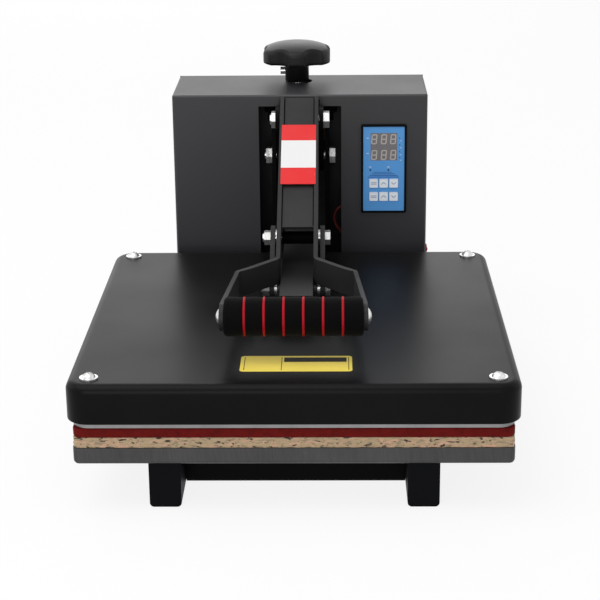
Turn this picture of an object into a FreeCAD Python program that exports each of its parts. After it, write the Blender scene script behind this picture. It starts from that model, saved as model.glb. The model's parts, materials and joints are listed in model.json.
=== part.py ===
import FreeCAD, Part
import math
import os

# Bench clamshell heat press, in millimetres.
# X runs to the operator's right, Y from the operator to the back, Z up from the bench.
# Y is measured from the platen centre while building; save_all() moves the origin under
# the middle of the overall depth.

# ---------------------------------------------------------------- driving dimensions
# Fits
slip = 0.05                    # radial clearance of a shaft in its hole
air = 0.3                      # clearance between pieces that move past each other
hex_ratio = 1.85               # hexagon's corner radius over the bolt's radius
hex_height_ratio = 1.3         # height of a plain hexagon head over the bolt's radius
plate_corner_r = 4.0

# Work area, from the bench up
platen_size = 380.0
platen_thickness = 15.5
platen_corner_r = 5.0
platen_edge_r = 4.0
felt_thickness = 9.5
silicone_thickness = 9.0
heater_thickness = 12.0
heater_corner_r = 15.0
insulation_gap = 4.0           # from the board to the corner spacers
insulation_thickness = 17.5

# Cover over the heater plate
cover_overhang = 5.0           # cover beyond the platen on each side
cover_height = 32.5
cover_wall = 1.6
cover_corner_r = 20.0
cover_edge_r = 8.0
cover_lip = 3.0
heater_tuck = 7.5              # how far the heater plate reaches up into the cover
cover_screw_inset = 20.0
cover_screw_r = 3.0
cover_screw_head_r = 6.0
cover_screw_head_h = 4.0
cover_washer_r = 8.0
cover_washer_t = 1.2
cross_slot_ratio = 0.4         # width of the cross slot over its reach
standoff_r = 7.0

# Base frame of rectangular tube
tube_width = 28.0
tube_height = 46.0
tube_wall = 2.5
tube_corner_r = 4.0
rail_inset = 7.5               # outer face of a rail inside the side of the box
rail_front_y = -175.0
crossmember_front_y = [-126.0, 100.0]
rear_crossmember_inset = 4.0
plug_flange_t = 2.0
plug_depth = 12.0
platen_bolt_r = 4.0
platen_bolt_y = 140.0
platen_bolt_bite = 11.0
bolt_access_r = 8.0

# Control box
box_width = 268.5
box_front_y = 226.0
box_depth = 106.0
box_height = 235.1
box_sheet = 1.5
box_edge_r = 2.0
box_corner_r = 3.0
box_flange = 12.0
slot_half_width = 43.5
slot_bottom_z = 105.0
slot_top_inset = 12.0
slot_corner_r = 1.0
knob_hole_r = 13.5
knob_hole_shift = 3.0          # to the right of the screw
back_screw_inset = 9.0
small_screw_r = 2.0
small_screw_head_r = 3.8
small_screw_head_h = 2.2
small_screw_length = 6.0
flange_screw_head_r = 2.9

# Mast inside the control box
mast_plate_t = 6.0
mast_plate_gap = 0.75          # from the plate to the box's flanges
mast_plate_corner_r = 6.0
mast_plate_bolt_inset = 10.0   # from the rail's inner face
mast_plate_front_y = 240.0
post_inner_x = 26.6
post_t = 4.4
post_top_z = 262.0
post_front_y = 242.0
post_rear_y = 326.0
post_cover = 15.0              # plate around the hinge bolt
post_foot = 27.0
post_foot_t = 6.0
post_bolt_inset = 12.0
post_waist_r = 20.0
post_foot_r = 30.0
post_shoulder_r = 8.0
bridge_t = 8.0
bridge_tab_t = 4.5
bridge_tab_h = 20.0
bridge_front_y = 280.0
bridge_bolt_r = 3.0
bridge_bolt_y = [297.0, 318.0]
bridge_bolt_drop = 9.0
mast_bolt_r = 4.0

# Pivots in the side view, as (Y, Z)
hinge_y = 270.0
hinge_z = 206.2
lever_pivot_y = 203.6
lever_pivot_z = 260.0
link_foot_y = 22.0
link_foot_z = 135.3
lever_length = 157.5           # lever pivot to link pin
head_open = 45.0               # degrees, with the press fully open
lever_open = 80.0
link_open = -6.0
hinge_bolt_r = 5.0
link_bolt_r = 4.0

# Head arm, an inverted channel on top of the cover
arm_half_width = 15.3
arm_wall = 3.0
arm_depth = 24.0
arm_front_y = -42.0
arm_knee_y = 190.0
arm_knee_r = 30.0
bushing_r = 8.5
bushing_half = 20.0
mount_plate_t = 5.0
mount_plate_half_width = 45.0
mount_plate_rear_y = 4.0
mount_tail_half_width = 20.5
mount_tail_rear_y = 150.0
mount_bolt_x = 34.0
mount_bolt_inset = 10.0
mount_bolt_r = 4.0
mount_spacer_r = 8.0
cheek_t = 3.9
cheek_half_length = 15.0
cheek_rise = 7.4
cheek_corner_r = 6.0

# Links from the head arm to the lever
link_inner_x = 22.0
link_t = 4.5
link_half_width = 12.0
link_washer_r = 8.0
link_nut_t = 6.5
link_head_t = 5.3
thread_end = 1.5

# Lever and grip
lever_inner_x = 15.8
lever_t = 4.0
lever_slope = 28.9             # degrees, of the front edge
lever_edge_above_pivot = 13.0
lever_depth_top = 26.0
lever_depth_pin = 40.0
lever_tail = 24.0
lever_tail_clip = 6.0          # taken off the tail's lower corner, clear of the box
lever_tail_corner_r = 2.0
lever_lobe = 14.0
lever_lobe_r = 12.0
lever_waist_r = 20.0
lever_bend_r = 30.0
lever_flare_r = 60.0
lever_throat_r = 6.0
notch_gap = 1.2                # beside the lever's tail, in the box front
seam_past_pin = 10.7
web_recess = 3.0
web_t = 3.0
bend_y = 12.0
bend_depth = 24.7
bar_depth = 25.0
flare_y = -13.0
flare_top_z = 163.4
flare_outer_x = 57.3
bend_r = 2.5
grip_y = -131.0
grip_z = 160.3
grip_end_x = 64.2
grip_r = 17.25
grip_tube_r = 11.0
grip_tube_wall = 2.0
foam_edge_r = 2.0
ring_count = 6
ring_pitch = 17.1
ring_width = 2.5
ring_depth = 1.6
ring_proud = 0.2
grip_screw_r = 4.0
grip_screw_head_r = 7.5
grip_screw_head_h = 3.4

# Pressure adjustment
pressure_travel = 1.5          # bracket up and down
ear_inner_x = 20.3
ear_t = 4.5
ear_end_r = 12.0
ear_hinge_r = 15.0
ear_top_drop = 17.0
ear_waist_r = 8.0
ear_corner_r = 3.0
nut_block_depth = 26.0
nut_block_height = 22.0
nut_block_top_z = 240.0
lever_bolt_head_t = 6.2
lever_bolt_nut_t = 4.2
screw_x = -4.0
screw_y = 301.0
screw_r = 6.0
screw_foot_z = 210.0
collar_r = 12.0
collar_t = 5.5
knob_r = 38.0
knob_height = 22.5
knob_lift = 22.5               # underside of the knob above the box
knob_dome = 9.0
knob_notches = 6
knob_notch_r = 18.7
knob_notch_depth = 6.0
hub_r = 12.9
hub_lift = 0.8
set_screw_r = 2.5
set_screw_head_r = 4.0

# Temperature and time controller
controller_x = 88.5
controller_z = 201.6
bezel_width = 48.0
bezel_height = 96.0
bezel_t = 3.8
bezel_corner_r = 2.0
housing_width = 44.5
housing_height = 91.5
housing_depth = 70.0
face_margin = 2.2
face_t = 1.2
face_inset = 0.8
button_well = 5.0
window_width = 28.1
window_height = 29.7
window_rise = 24.1
button_width = 9.2
button_height = 9.4
button_pitch_x = 10.6
button_rows = [-15.5, -30.0]
button_columns = [-1, 0, 1]
button_proud = 0.8
button_travel = 0.6
button_depth = 3.6
button_corner_r = 1.0

# Power switch, inlet and relay
switch_y = 275.0
switch_z = 90.0
switch_width = 24.0
switch_height = 31.0
switch_bezel_t = 2.0
switch_body_depth = 18.0
switch_wall = 1.5
rocker_width = 18.0
rocker_half_height = 12.0
rocker_rise = 3.0
rocker_dip = 1.6
rocker_root = 5.0
rocker_tilt = 10.0
rocker_lip_r = 0.8
rocker_hollow_r = 30.0
rocker_pivot_r = 1.5
rocker_pivot_depth = 1.0
inlet_x = -80.0
inlet_z = 84.0
inlet_flange_width = 50.0
inlet_flange_height = 28.0
inlet_flange_t = 3.0
inlet_body_width = 28.0
inlet_body_height = 21.0
inlet_body_depth = 22.0
inlet_socket_width = 24.5
inlet_socket_height = 17.0
inlet_socket_depth = 17.0
inlet_screw_spacing = 40.0
inlet_pin_pitch = 7.0
inlet_pin_recess = 6.0
inlet_pin_width = 2.0
inlet_pin_height = 4.0
relay_width = 45.0
relay_height = 60.0
relay_depth = 25.0
relay_inset = 46.25            # middle of the relay from the side of the box
relay_z = 180.0
relay_terminal_r = 4.0
relay_terminal_h = 2.0
wire_r = 1.6
wire_bend_r = 12.0
wire_pitch = 7.0               # between leads side by side
wire_start_drop = 11.6         # first terminal below the controller's middle
wire_run_out = 18.0            # straight out of a terminal
wire_sweep = 24.0              # sideways, over a long bend
wire_fall = 30.0               # down, over a long bend
wire_gap = 6.0                 # beside the post
wire_rise = 5.0                # up, towards the inlet

# ---------------------------------------------------------------- levels and places
platen_bottom_z = tube_height
felt_z = platen_bottom_z + platen_thickness
silicone_z = felt_z + felt_thickness
silicone_top_z = silicone_z + silicone_thickness
heater_z = silicone_top_z + air
heater_top_z = heater_z + heater_thickness
cover_size = platen_size + 2 * cover_overhang
insulation_size = cover_size - 2 * (cover_screw_inset + standoff_r + insulation_gap)
cover_z = heater_z + heater_tuck
cover_top_z = cover_z + cover_height
cover_ceiling_z = cover_top_z - cover_wall
box_z = tube_height
box_top_z = box_z + box_height
box_back_y = box_front_y + box_depth
box_side_x = box_width / 2
rail_outer_x = box_side_x - rail_inset
rail_centre_x = rail_outer_x - tube_width / 2
mast_floor_z = tube_height + mast_plate_t
mast_plate_width = box_width - 2 * (box_sheet + box_flange + mast_plate_gap)
arm_bottom_z = cover_top_z + mount_plate_t
arm_mid_z = arm_bottom_z + arm_depth / 2
knob_z = box_top_z + knob_lift
panel_inner_y = box_back_y - box_sheet
relay_x = relay_inset - box_side_x
relay_front_y = panel_inner_y - relay_depth
face_front_y = box_front_y - bezel_t + face_inset


# ---------------------------------------------------------------- helpers
def save_all(nodes):
    """Write every node, with the origin under the middle of the overall depth."""
    bounds = Part.Compound(list(nodes.values())).optimalBoundingBox(False, False)
    for node, shape in nodes.items():
        moved = shape.copy()
        moved.translate(FreeCAD.Vector(0, -(bounds.YMin + bounds.YMax) / 2, 0))
        moved.exportStep("parts/" + node + ".step")


def block(x0, x1, y0, y1, z0, z1):
    """Box between two corners."""
    return Part.makeBox(x1 - x0, y1 - y0, z1 - z0, FreeCAD.Vector(x0, y0, z0))


def rod_x(radius, x0, x1, y, z):
    """Cylinder along X."""
    return Part.makeCylinder(radius, x1 - x0, FreeCAD.Vector(x0, y, z), FreeCAD.Vector(1, 0, 0))


def rod_y(radius, y0, y1, x, z):
    """Cylinder along Y."""
    return Part.makeCylinder(radius, y1 - y0, FreeCAD.Vector(x, y0, z), FreeCAD.Vector(0, 1, 0))


def rod_z(radius, z0, z1, x, y):
    """Cylinder along Z."""
    return Part.makeCylinder(radius, z1 - z0, FreeCAD.Vector(x, y, z0))


def in_side_view(x):
    """Place (y, z) outlines in the plane at x, to be extruded along X."""
    return lambda u, v: FreeCAD.Vector(x, u, v)


def in_plan(z):
    """Place (x, y) outlines in the plane at z, to be extruded along Z."""
    return lambda u, v: FreeCAD.Vector(u, v, z)


def in_front_view(y):
    """Place (x, z) outlines in the plane at y, to be extruded along Y."""
    return lambda u, v: FreeCAD.Vector(u, y, v)


def rounded_face(corners, place):
    """Face of straight runs between corners (u, v, radius), each corner rounded by its radius."""
    turns = []
    for i, (u, v, radius) in enumerate(corners):
        point = FreeCAD.Vector(u, v, 0)
        back = FreeCAD.Vector(corners[i - 1][0], corners[i - 1][1], 0) - point
        ahead_corner = corners[(i + 1) % len(corners)]
        ahead = FreeCAD.Vector(ahead_corner[0], ahead_corner[1], 0) - point
        half = back.getAngle(ahead) / 2
        back.normalize()
        ahead.normalize()
        middle = back + ahead
        middle.normalize()
        reach = radius / math.tan(half)
        sagitta = radius / math.sin(half) - radius
        turns.append((point + back * reach, point + middle * sagitta, point + ahead * reach, radius))
    edges = []
    for i, (start, middle, end, radius) in enumerate(turns):
        if radius > 0:
            arc = Part.Arc(place(start.x, start.y), place(middle.x, middle.y), place(end.x, end.y))
            edges.append(arc.toShape())
        next_start = turns[(i + 1) % len(turns)][0]
        if (next_start - end).Length > 1e-6:
            edges.append(Part.LineSegment(place(end.x, end.y), place(next_start.x, next_start.y)).toShape())
    return Part.Face(Part.Wire(edges))


def side_plate(corners, x0, x1):
    """Plate with a (y, z, radius) outline, from x0 to x1."""
    return rounded_face(corners, in_side_view(x0)).extrude(FreeCAD.Vector(x1 - x0, 0, 0))


def plan_plate(corners, z0, z1):
    """Plate with an (x, y, radius) outline, from z0 to z1."""
    return rounded_face(corners, in_plan(z0)).extrude(FreeCAD.Vector(0, 0, z1 - z0))


def front_plate(corners, y0, y1):
    """Plate with an (x, z, radius) outline, from y0 to y1."""
    return rounded_face(corners, in_front_view(y0)).extrude(FreeCAD.Vector(0, y1 - y0, 0))


def rectangle(u0, u1, v0, v1, radius):
    """Corners of a rectangle, all rounded alike."""
    return [(u0, v0, radius), (u1, v0, radius), (u1, v1, radius), (u0, v1, radius)]


def turned(v, degrees):
    """Side-view vector (y, z) turned so that the front goes up."""
    angle = math.radians(degrees)
    return (v[0] * math.cos(angle) + v[1] * math.sin(angle),
            v[1] * math.cos(angle) - v[0] * math.sin(angle))


def plus(a, b, scale=1.0):
    """Point a moved by a multiple of b."""
    return (a[0] + scale * b[0], a[1] + scale * b[1])


def unit(a, b):
    """Unit vector from a to b."""
    length = math.hypot(b[0] - a[0], b[1] - a[1])
    return ((b[0] - a[0]) / length, (b[1] - a[1]) / length)


def dot(a, b):
    """Scalar product."""
    return a[0] * b[0] + a[1] * b[1]


def offset_path(points, distance, bend):
    """Corners (u, v, radius) of a path moved sideways, to the left of its direction."""
    corners = []
    for i, point in enumerate(points):
        steps = []
        if i > 0:
            steps.append(unit(points[i - 1], point))
        if i < len(points) - 1:
            steps.append(unit(point, points[i + 1]))
        normals = [(-step[1], step[0]) for step in steps]
        total = plus(normals[0], normals[-1])
        scale = 2 * distance / dot(total, total)
        radius = 0.0
        if len(steps) == 2:
            turn = steps[0][0] * steps[1][1] - steps[0][1] * steps[1][0]
            radius = bend - distance * math.copysign(1, turn)
        moved = plus(point, total, scale)
        corners.append((moved[0], moved[1], radius))
    return corners


def strip(points, left, right, bend):
    """Closed outline of a strip along a path, from `left` on one side to `right` on the other."""
    return offset_path(points, left, bend) + offset_path(points, -right, bend)[::-1]


def strap(a, b, half_width):
    """Outline of a strap with round ends about two pins."""
    along = unit(a, b)
    start = plus(a, along, -half_width)
    end = plus(b, along, half_width)
    outline = strip([start, end], half_width, half_width, 0)
    return [(u, v, half_width) for u, v, radius in outline]


def hexagon_x(radius, x0, x1, y, z):
    """Hexagonal prism along X, with a flat on top."""
    points = []
    for i in range(7):
        angle = math.radians(60 * i)
        points.append(FreeCAD.Vector(x0, y + radius * math.cos(angle), z + radius * math.sin(angle)))
    return Part.Face(Part.makePolygon(points)).extrude(FreeCAD.Vector(x1 - x0, 0, 0))


def hexagon_z(radius, z0, z1, x, y):
    """Hexagonal prism along Z."""
    points = []
    for i in range(7):
        angle = math.radians(60 * i)
        points.append(FreeCAD.Vector(x + radius * math.cos(angle), y + radius * math.sin(angle), z0))
    return Part.Face(Part.makePolygon(points)).extrude(FreeCAD.Vector(0, 0, z1 - z0))


def cross_bolt(radius, left_x, right_x, y, z, nut_t, head_t):
    """Bolt along X: head outside right_x, and a separate nut outside left_x."""
    shank_end = left_x - nut_t - thread_end
    shank = rod_x(radius, shank_end, right_x, y, z)
    head = hexagon_x(hex_ratio * radius, right_x, right_x + head_t, y, z)
    nut = hexagon_x(hex_ratio * radius, left_x - nut_t, left_x, y, z)
    nut = nut.cut(rod_x(radius + slip, left_x - nut_t, left_x, y, z))
    return Part.Compound([shank.fuse(head), nut])


def hex_bolt_z(radius, z_head, z_end, x, y):
    """Bolt along Z from the seat of its head at z_head to its end; the head lies beyond the seat."""
    head_t = hex_height_ratio * radius
    if z_end < z_head:
        head = hexagon_z(hex_ratio * radius, z_head, z_head + head_t, x, y)
        return head.fuse(rod_z(radius, z_end, z_head, x, y))
    head = hexagon_z(hex_ratio * radius, z_head - head_t, z_head, x, y)
    return head.fuse(rod_z(radius, z_head, z_end, x, y))


def mirrored(shape):
    """Copy on the other side of the middle plane."""
    return shape.mirror(FreeCAD.Vector(0, 0, 0), FreeCAD.Vector(1, 0, 0))


def both_sides(shape):
    """The shape and its mirror image."""
    return [shape, mirrored(shape)]


def corners_at(x, y):
    """The four places (+-x, +-y)."""
    return [(-x, -y), (x, -y), (x, y), (-x, y)]


def edges_at(shape, z):
    """Edges that lie wholly in the horizontal plane at z."""
    return [edge for edge in shape.Edges
            if abs(edge.BoundBox.ZMin - z) < 1e-6 and abs(edge.BoundBox.ZMax - z) < 1e-6]


# ---------------------------------------------------------------- linkage
hinge = (hinge_y, hinge_z)
lever_pivot = (lever_pivot_y, lever_pivot_z)
link_foot = (link_foot_y, link_foot_z)
lever_line = unit(lever_pivot, link_foot)      # closed, the three link pivots lie in one line
link_pin = plus(lever_pivot, lever_line, lever_length)


def pin_track():
    """Extremes of the link pin's path in the lever: along the lever, and across it."""
    across = (-lever_line[1], lever_line[0])
    along_values = []
    across_values = []
    steps = 60
    for i in range(steps + 1):
        share = i / steps
        foot = plus(hinge, turned(plus(link_foot, hinge, -1), head_open * share))
        pin = plus(foot, turned(plus(link_pin, link_foot, -1), link_open * share))
        seen = turned(plus(pin, lever_pivot, -1), -lever_open * share)
        along_values.append(dot(seen, lever_line) - lever_length)
        across_values.append(abs(dot(seen, across)))
    return min(along_values), max(along_values), max(across_values)


def lever_edge_point(past_pivot, below_edge):
    """Point of the lever by its distance down the front edge and its depth below that edge."""
    slope = math.radians(lever_slope)
    down = (-math.cos(slope), -math.sin(slope))
    inward = (math.sin(slope), -math.cos(slope))
    start = plus(lever_pivot, inward, -lever_edge_above_pivot)
    return plus(plus(start, down, past_pivot), inward, below_edge)


def pin_past_pivot():
    """Distance of the link pin down the front edge."""
    slope = math.radians(lever_slope)
    return -dot(plus(link_pin, lever_pivot, -1), (math.cos(slope), math.sin(slope)))


def edge_height(y):
    """Height of the lever's front edge at y."""
    top = lever_edge_point(0, 0)
    return top[1] + (y - top[0]) * math.tan(math.radians(lever_slope))


# ---------------------------------------------------------------- base frame
def tube_y(x, y0, y1):
    """Rectangular tube along Y, standing on the bench."""
    outer = front_plate(rectangle(x - tube_width / 2, x + tube_width / 2, 0, tube_height, tube_corner_r), y0, y1)
    half = tube_width / 2 - tube_wall
    inner = rectangle(x - half, x + half, tube_wall, tube_height - tube_wall, tube_corner_r - tube_wall)
    return outer.cut(front_plate(inner, y0, y1))


def tube_x(y, x0, x1):
    """Rectangular tube along X, from y to the back by its width."""
    outer = side_plate(rectangle(y, y + tube_width, 0, tube_height, tube_corner_r), x0, x1)
    inner = rectangle(y + tube_wall, y + tube_width - tube_wall, tube_wall, tube_height - tube_wall,
                      tube_corner_r - tube_wall)
    return outer.cut(side_plate(inner, x0, x1))


def base_rail(x):
    """Rail with holes for the platen, mast and box screws."""
    rail = tube_y(x, rail_front_y, box_back_y)
    side = math.copysign(1, x)
    for y in (-platen_bolt_y, platen_bolt_y):
        rail = rail.cut(rod_z(platen_bolt_r + slip, tube_height / 2, tube_height, x, y))
        rail = rail.cut(rod_z(bolt_access_r, 0, tube_height / 2, x, y))
    for y in mast_plate_bolt_y():
        rail = rail.cut(rod_z(mast_bolt_r + slip, tube_height / 2, tube_height, side * mast_plate_bolt_x(), y))
    for y in flange_screw_y():
        rail = rail.cut(rod_z(small_screw_r + slip, tube_height / 2, tube_height, side * flange_screw_x(), y))
    return rail


def rail_plugs():
    """Plastic plug in each end of both rails."""
    plugs = []
    half = tube_width / 2
    wall = tube_wall + slip
    for x in (-rail_centre_x, rail_centre_x):
        stem_outline = rectangle(x - half + wall, x + half - wall, wall, tube_height - wall, tube_corner_r - tube_wall)
        flange_outline = rectangle(x - half, x + half, 0, tube_height, tube_corner_r)
        for end, inward in ((rail_front_y, 1), (box_back_y, -1)):
            flange = sorted((end, end - inward * plug_flange_t))
            stem = sorted((end, end + inward * plug_depth))
            plug = front_plate(flange_outline, flange[0], flange[1])
            plugs.append(plug.fuse(front_plate(stem_outline, stem[0], stem[1])).removeSplitter())
    return Part.Compound(plugs)


def crossmembers():
    """Tubes between the rails, front to back."""
    names = ["front_crossmember", "middle_crossmember", "rear_crossmember"]
    rear = box_back_y - rear_crossmember_inset - tube_width
    inner_x = rail_outer_x - tube_width
    return {name: tube_x(y, -inner_x, inner_x) for name, y in zip(names, crossmember_front_y + [rear])}


# ---------------------------------------------------------------- lower platen
def lower_platen():
    """Aluminium table with tapped holes from below."""
    half = platen_size / 2
    plate = plan_plate(rectangle(-half, half, -half, half, platen_corner_r), platen_bottom_z, felt_z)
    plate = plate.makeFillet(platen_edge_r, edges_at(plate, platen_bottom_z))
    top = platen_bottom_z + platen_bolt_bite
    for x, y in corners_at(rail_centre_x, platen_bolt_y):
        plate = plate.cut(rod_z(platen_bolt_r + slip, platen_bottom_z, top, x, y))
    return plate


def platen_bolts():
    """Bolts up through the rails into the platen."""
    seat = tube_height - tube_wall
    end = platen_bottom_z + platen_bolt_bite
    return Part.Compound([hex_bolt_z(platen_bolt_r, seat, end, x, y)
                          for x, y in corners_at(rail_centre_x, platen_bolt_y)])


def pad(z0, z1):
    """Flat pad of the platen's size."""
    half = platen_size / 2
    return plan_plate(rectangle(-half, half, -half, half, platen_corner_r), z0, z1)


# ---------------------------------------------------------------- head
def cover():
    """Pressed sheet cover, open below, with a turned-in lip."""
    half = cover_size / 2
    outer = plan_plate(rectangle(-half, half, -half, half, cover_corner_r), cover_z, cover_top_z)
    outer = outer.makeFillet(cover_edge_r, edges_at(outer, cover_top_z))
    half -= cover_wall
    inner_r = cover_corner_r - cover_wall
    inner = plan_plate(rectangle(-half, half, -half, half, inner_r), cover_z + cover_wall, cover_ceiling_z)
    inner = inner.makeFillet(cover_edge_r - cover_wall, edges_at(inner, cover_ceiling_z))
    half -= cover_lip
    mouth = plan_plate(rectangle(-half, half, -half, half, inner_r - cover_lip), cover_z, cover_z + cover_wall)
    shell = outer.cut(inner).cut(mouth)
    for x, y in cover_screw_places():
        shell = shell.cut(rod_z(cover_screw_r + slip, cover_ceiling_z, cover_top_z, x, y))
    for x, y in mount_bolt_places():
        shell = shell.cut(rod_z(mount_bolt_r + slip, cover_ceiling_z, cover_top_z, x, y))
    return shell


def cover_screw_places():
    """Centres of the four cover screws."""
    place = cover_size / 2 - cover_screw_inset
    return corners_at(place, place)


def mount_bolt_places():
    """Centres of the bolts through the head mount plate."""
    front = arm_front_y + mount_bolt_inset
    rear = mount_plate_rear_y - mount_bolt_inset - cover_wall
    return [(x, y) for x in (-mount_bolt_x, mount_bolt_x) for y in (front, rear)]


def heater_plate():
    """Cast plate with the heating element, tapped for the spacers' screws."""
    half = platen_size / 2
    plate = plan_plate(rectangle(-half, half, -half, half, heater_corner_r), heater_z, heater_top_z)
    depth = heater_thickness / 2
    for x, y in cover_screw_places():
        plate = plate.cut(rod_z(cover_screw_r + slip, heater_top_z - depth, heater_top_z, x, y))
    for x, y in mount_bolt_places():
        plate = plate.cut(rod_z(mount_bolt_r + slip, heater_top_z - depth, heater_top_z, x, y))
    return plate


def insulation():
    """Ceramic wool board over the heater plate, clear of the spacers."""
    half = insulation_size / 2
    top = heater_top_z + insulation_thickness
    board = block(-half, half, -half, half, heater_top_z, top)
    for x, y in mount_bolt_places():
        board = board.cut(rod_z(mount_spacer_r + air, heater_top_z, top, x, y))
    return board


def spacer(radius, bore, x, y):
    """Tube between the heater plate and the cover."""
    tube = rod_z(radius, heater_top_z, cover_ceiling_z, x, y)
    return tube.cut(rod_z(bore + slip, heater_top_z, cover_ceiling_z, x, y))


def head_spacers():
    """Spacers under the cover screws and under the mount plate's bolts."""
    tubes = [spacer(standoff_r, cover_screw_r, x, y) for x, y in cover_screw_places()]
    tubes += [spacer(mount_spacer_r, mount_bolt_r, x, y) for x, y in mount_bolt_places()]
    return Part.Compound(tubes)


def cross_recess(x, y, z_top, reach, depth):
    """Cross slot cut into a screw head."""
    half = reach * cross_slot_ratio / 2
    bar = block(x - reach, x + reach, y - half, y + half, z_top - depth, z_top)
    return bar.fuse(block(x - half, x + half, y - reach, y + reach, z_top - depth, z_top))


def cover_screws():
    """Domed cross-head screws with washers at the corners of the cover."""
    pieces = []
    seat = cover_top_z + cover_washer_t
    end = heater_top_z - heater_thickness / 2
    for x, y in cover_screw_places():
        washer = rod_z(cover_washer_r, cover_top_z, seat, x, y)
        washer = washer.cut(rod_z(cover_screw_r + slip, cover_top_z, seat, x, y))
        dome_r = (cover_screw_head_r ** 2 + cover_screw_head_h ** 2) / (2 * cover_screw_head_h)
        ball = Part.makeSphere(dome_r, FreeCAD.Vector(x, y, seat + cover_screw_head_h - dome_r))
        head = ball.common(rod_z(cover_screw_head_r, seat, seat + cover_screw_head_h, x, y))
        head = head.cut(cross_recess(x, y, seat + cover_screw_head_h, cover_screw_head_r / 2, cover_screw_head_h / 2))
        pieces += [washer, head.fuse(rod_z(cover_screw_r, end, seat, x, y))]
    return Part.Compound(pieces)


def arm_path():
    """Centre line of the head arm in the side view, ending past the hinge by half its depth."""
    knee = (arm_knee_y, arm_mid_z)
    end = plus(hinge, unit(knee, hinge), arm_depth / 2)
    return [(arm_front_y, arm_mid_z), knee, end]


def head_arm():
    """Inverted channel from the cover up to the hinge, with the hinge bushing welded in."""
    half = arm_depth / 2
    outline = strip(arm_path(), half, half, arm_knee_r)
    rounded = [(u, v, half if i in (2, 3) else r) for i, (u, v, r) in enumerate(outline)]
    arm = side_plate(rounded, -arm_half_width, arm_half_width)
    path = arm_path()
    inside = [(path[0][0] + arm_wall, path[0][1]), path[1], plus(path[2], unit(path[1], path[2]), half)]
    hollow_x = arm_half_width - arm_wall
    arm = arm.cut(side_plate(strip(inside, half - arm_wall, 2 * half, arm_knee_r + half), -hollow_x, hollow_x))
    arm = arm.cut(rod_x(link_bolt_r + slip, -arm_half_width, arm_half_width, link_foot_y, link_foot_z))
    arm = arm.fuse(rod_x(bushing_r, -bushing_half, bushing_half, hinge_y, hinge_z))
    return arm.cut(rod_x(hinge_bolt_r + slip, -bushing_half, bushing_half, hinge_y, hinge_z)).removeSplitter()


def head_mount_plate():
    """T-shaped plate under the arm: wide where it is bolted, narrow beside the links."""
    wide = mount_plate_half_width
    tail = mount_tail_half_width
    corner = plate_corner_r
    outline = [(-wide, arm_front_y, corner), (wide, arm_front_y, corner), (wide, mount_plate_rear_y, corner),
               (tail, mount_plate_rear_y, 0), (tail, mount_tail_rear_y, corner), (-tail, mount_tail_rear_y, corner),
               (-tail, mount_plate_rear_y, 0), (-wide, mount_plate_rear_y, corner)]
    plate = plan_plate(outline, cover_top_z, arm_bottom_z)
    for x, y in mount_bolt_places():
        plate = plate.cut(rod_z(mount_bolt_r + slip, cover_top_z, arm_bottom_z, x, y))
    return plate


def mount_bolts():
    """Bolts from the mount plate through the spacers into the heater plate."""
    end = heater_top_z - heater_thickness / 2
    return Part.Compound([hex_bolt_z(mount_bolt_r, arm_bottom_z, end, x, y) for x, y in mount_bolt_places()])


def arm_cheeks():
    """Doubler plates welded to the arm around the link bolt."""
    top = link_foot_z + cheek_rise
    outline = [(link_foot_y - cheek_half_length, arm_bottom_z, 0), (link_foot_y + cheek_half_length, arm_bottom_z, 0),
               (link_foot_y + cheek_half_length, top, cheek_corner_r),
               (link_foot_y - cheek_half_length, top, cheek_corner_r)]
    plate = side_plate(outline, arm_half_width, arm_half_width + cheek_t)
    plate = plate.cut(rod_x(link_bolt_r + slip, arm_half_width, arm_half_width + cheek_t, link_foot_y, link_foot_z))
    return Part.Compound(both_sides(plate))


# ---------------------------------------------------------------- links
link_outer_x = link_inner_x + link_t
washer_faces = {"foot": arm_half_width + cheek_t + air, "pin": lever_inner_x + lever_t + air}


def link_plate():
    """Right-hand link plate."""
    plate = side_plate(strap(link_foot, link_pin, link_half_width), link_inner_x, link_outer_x)
    for y, z in (link_foot, link_pin):
        plate = plate.cut(rod_x(link_bolt_r + slip, link_inner_x, link_outer_x, y, z))
    return plate


def link_washers():
    """Spacing washers between the links and what they hold."""
    rings = []
    for face, (y, z) in ((washer_faces["foot"], link_foot), (washer_faces["pin"], link_pin)):
        ring = rod_x(link_washer_r, face, link_inner_x, y, z)
        rings += both_sides(ring.cut(rod_x(link_bolt_r + slip, face, link_inner_x, y, z)))
    return Part.Compound(rings)


def link_bolt(point):
    """Bolt and nut across both links."""
    return cross_bolt(link_bolt_r, -link_outer_x, link_outer_x, point[0], point[1], link_nut_t, link_head_t)


# ---------------------------------------------------------------- lever
def lever_profile():
    """Side view of a lever side, from the tail past the pivot to the round end at the grip."""
    past_pin = pin_past_pivot()
    end_r = bar_depth / 2
    tail_top = lever_edge_point(-lever_tail, 0)
    tail_bottom = lever_edge_point(lever_tail_clip - lever_tail, lever_depth_top)
    throat = lever_edge_point(0, lever_depth_top)
    lobe_back = lever_edge_point(past_pin - lever_lobe, lever_depth_pin)
    lobe_front = lever_edge_point(past_pin + lever_lobe, lever_depth_pin)
    bend_z = edge_height(bend_y)
    flare = (flare_y, flare_top_z - end_r)
    tip = unit(flare, (grip_y, grip_z))
    side = (tip[1], -tip[0])
    flare_top = plus(flare, side, end_r)
    flare_bottom = plus(flare, side, -end_r)
    tip_top = plus(plus((grip_y, grip_z), tip, end_r), side, end_r)
    tip_bottom = plus(plus((grip_y, grip_z), tip, end_r), side, -end_r)
    return [(*tail_top, lever_tail_corner_r), (bend_y, bend_z, lever_waist_r), (*flare_top, lever_flare_r),
            (*tip_top, end_r), (*tip_bottom, end_r), (*flare_bottom, lever_flare_r),
            (bend_y, bend_z - bend_depth, lever_bend_r), (*lobe_front, lever_lobe_r), (*lobe_back, lever_lobe_r),
            (*throat, lever_waist_r), (*tail_bottom, lever_throat_r)]


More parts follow.
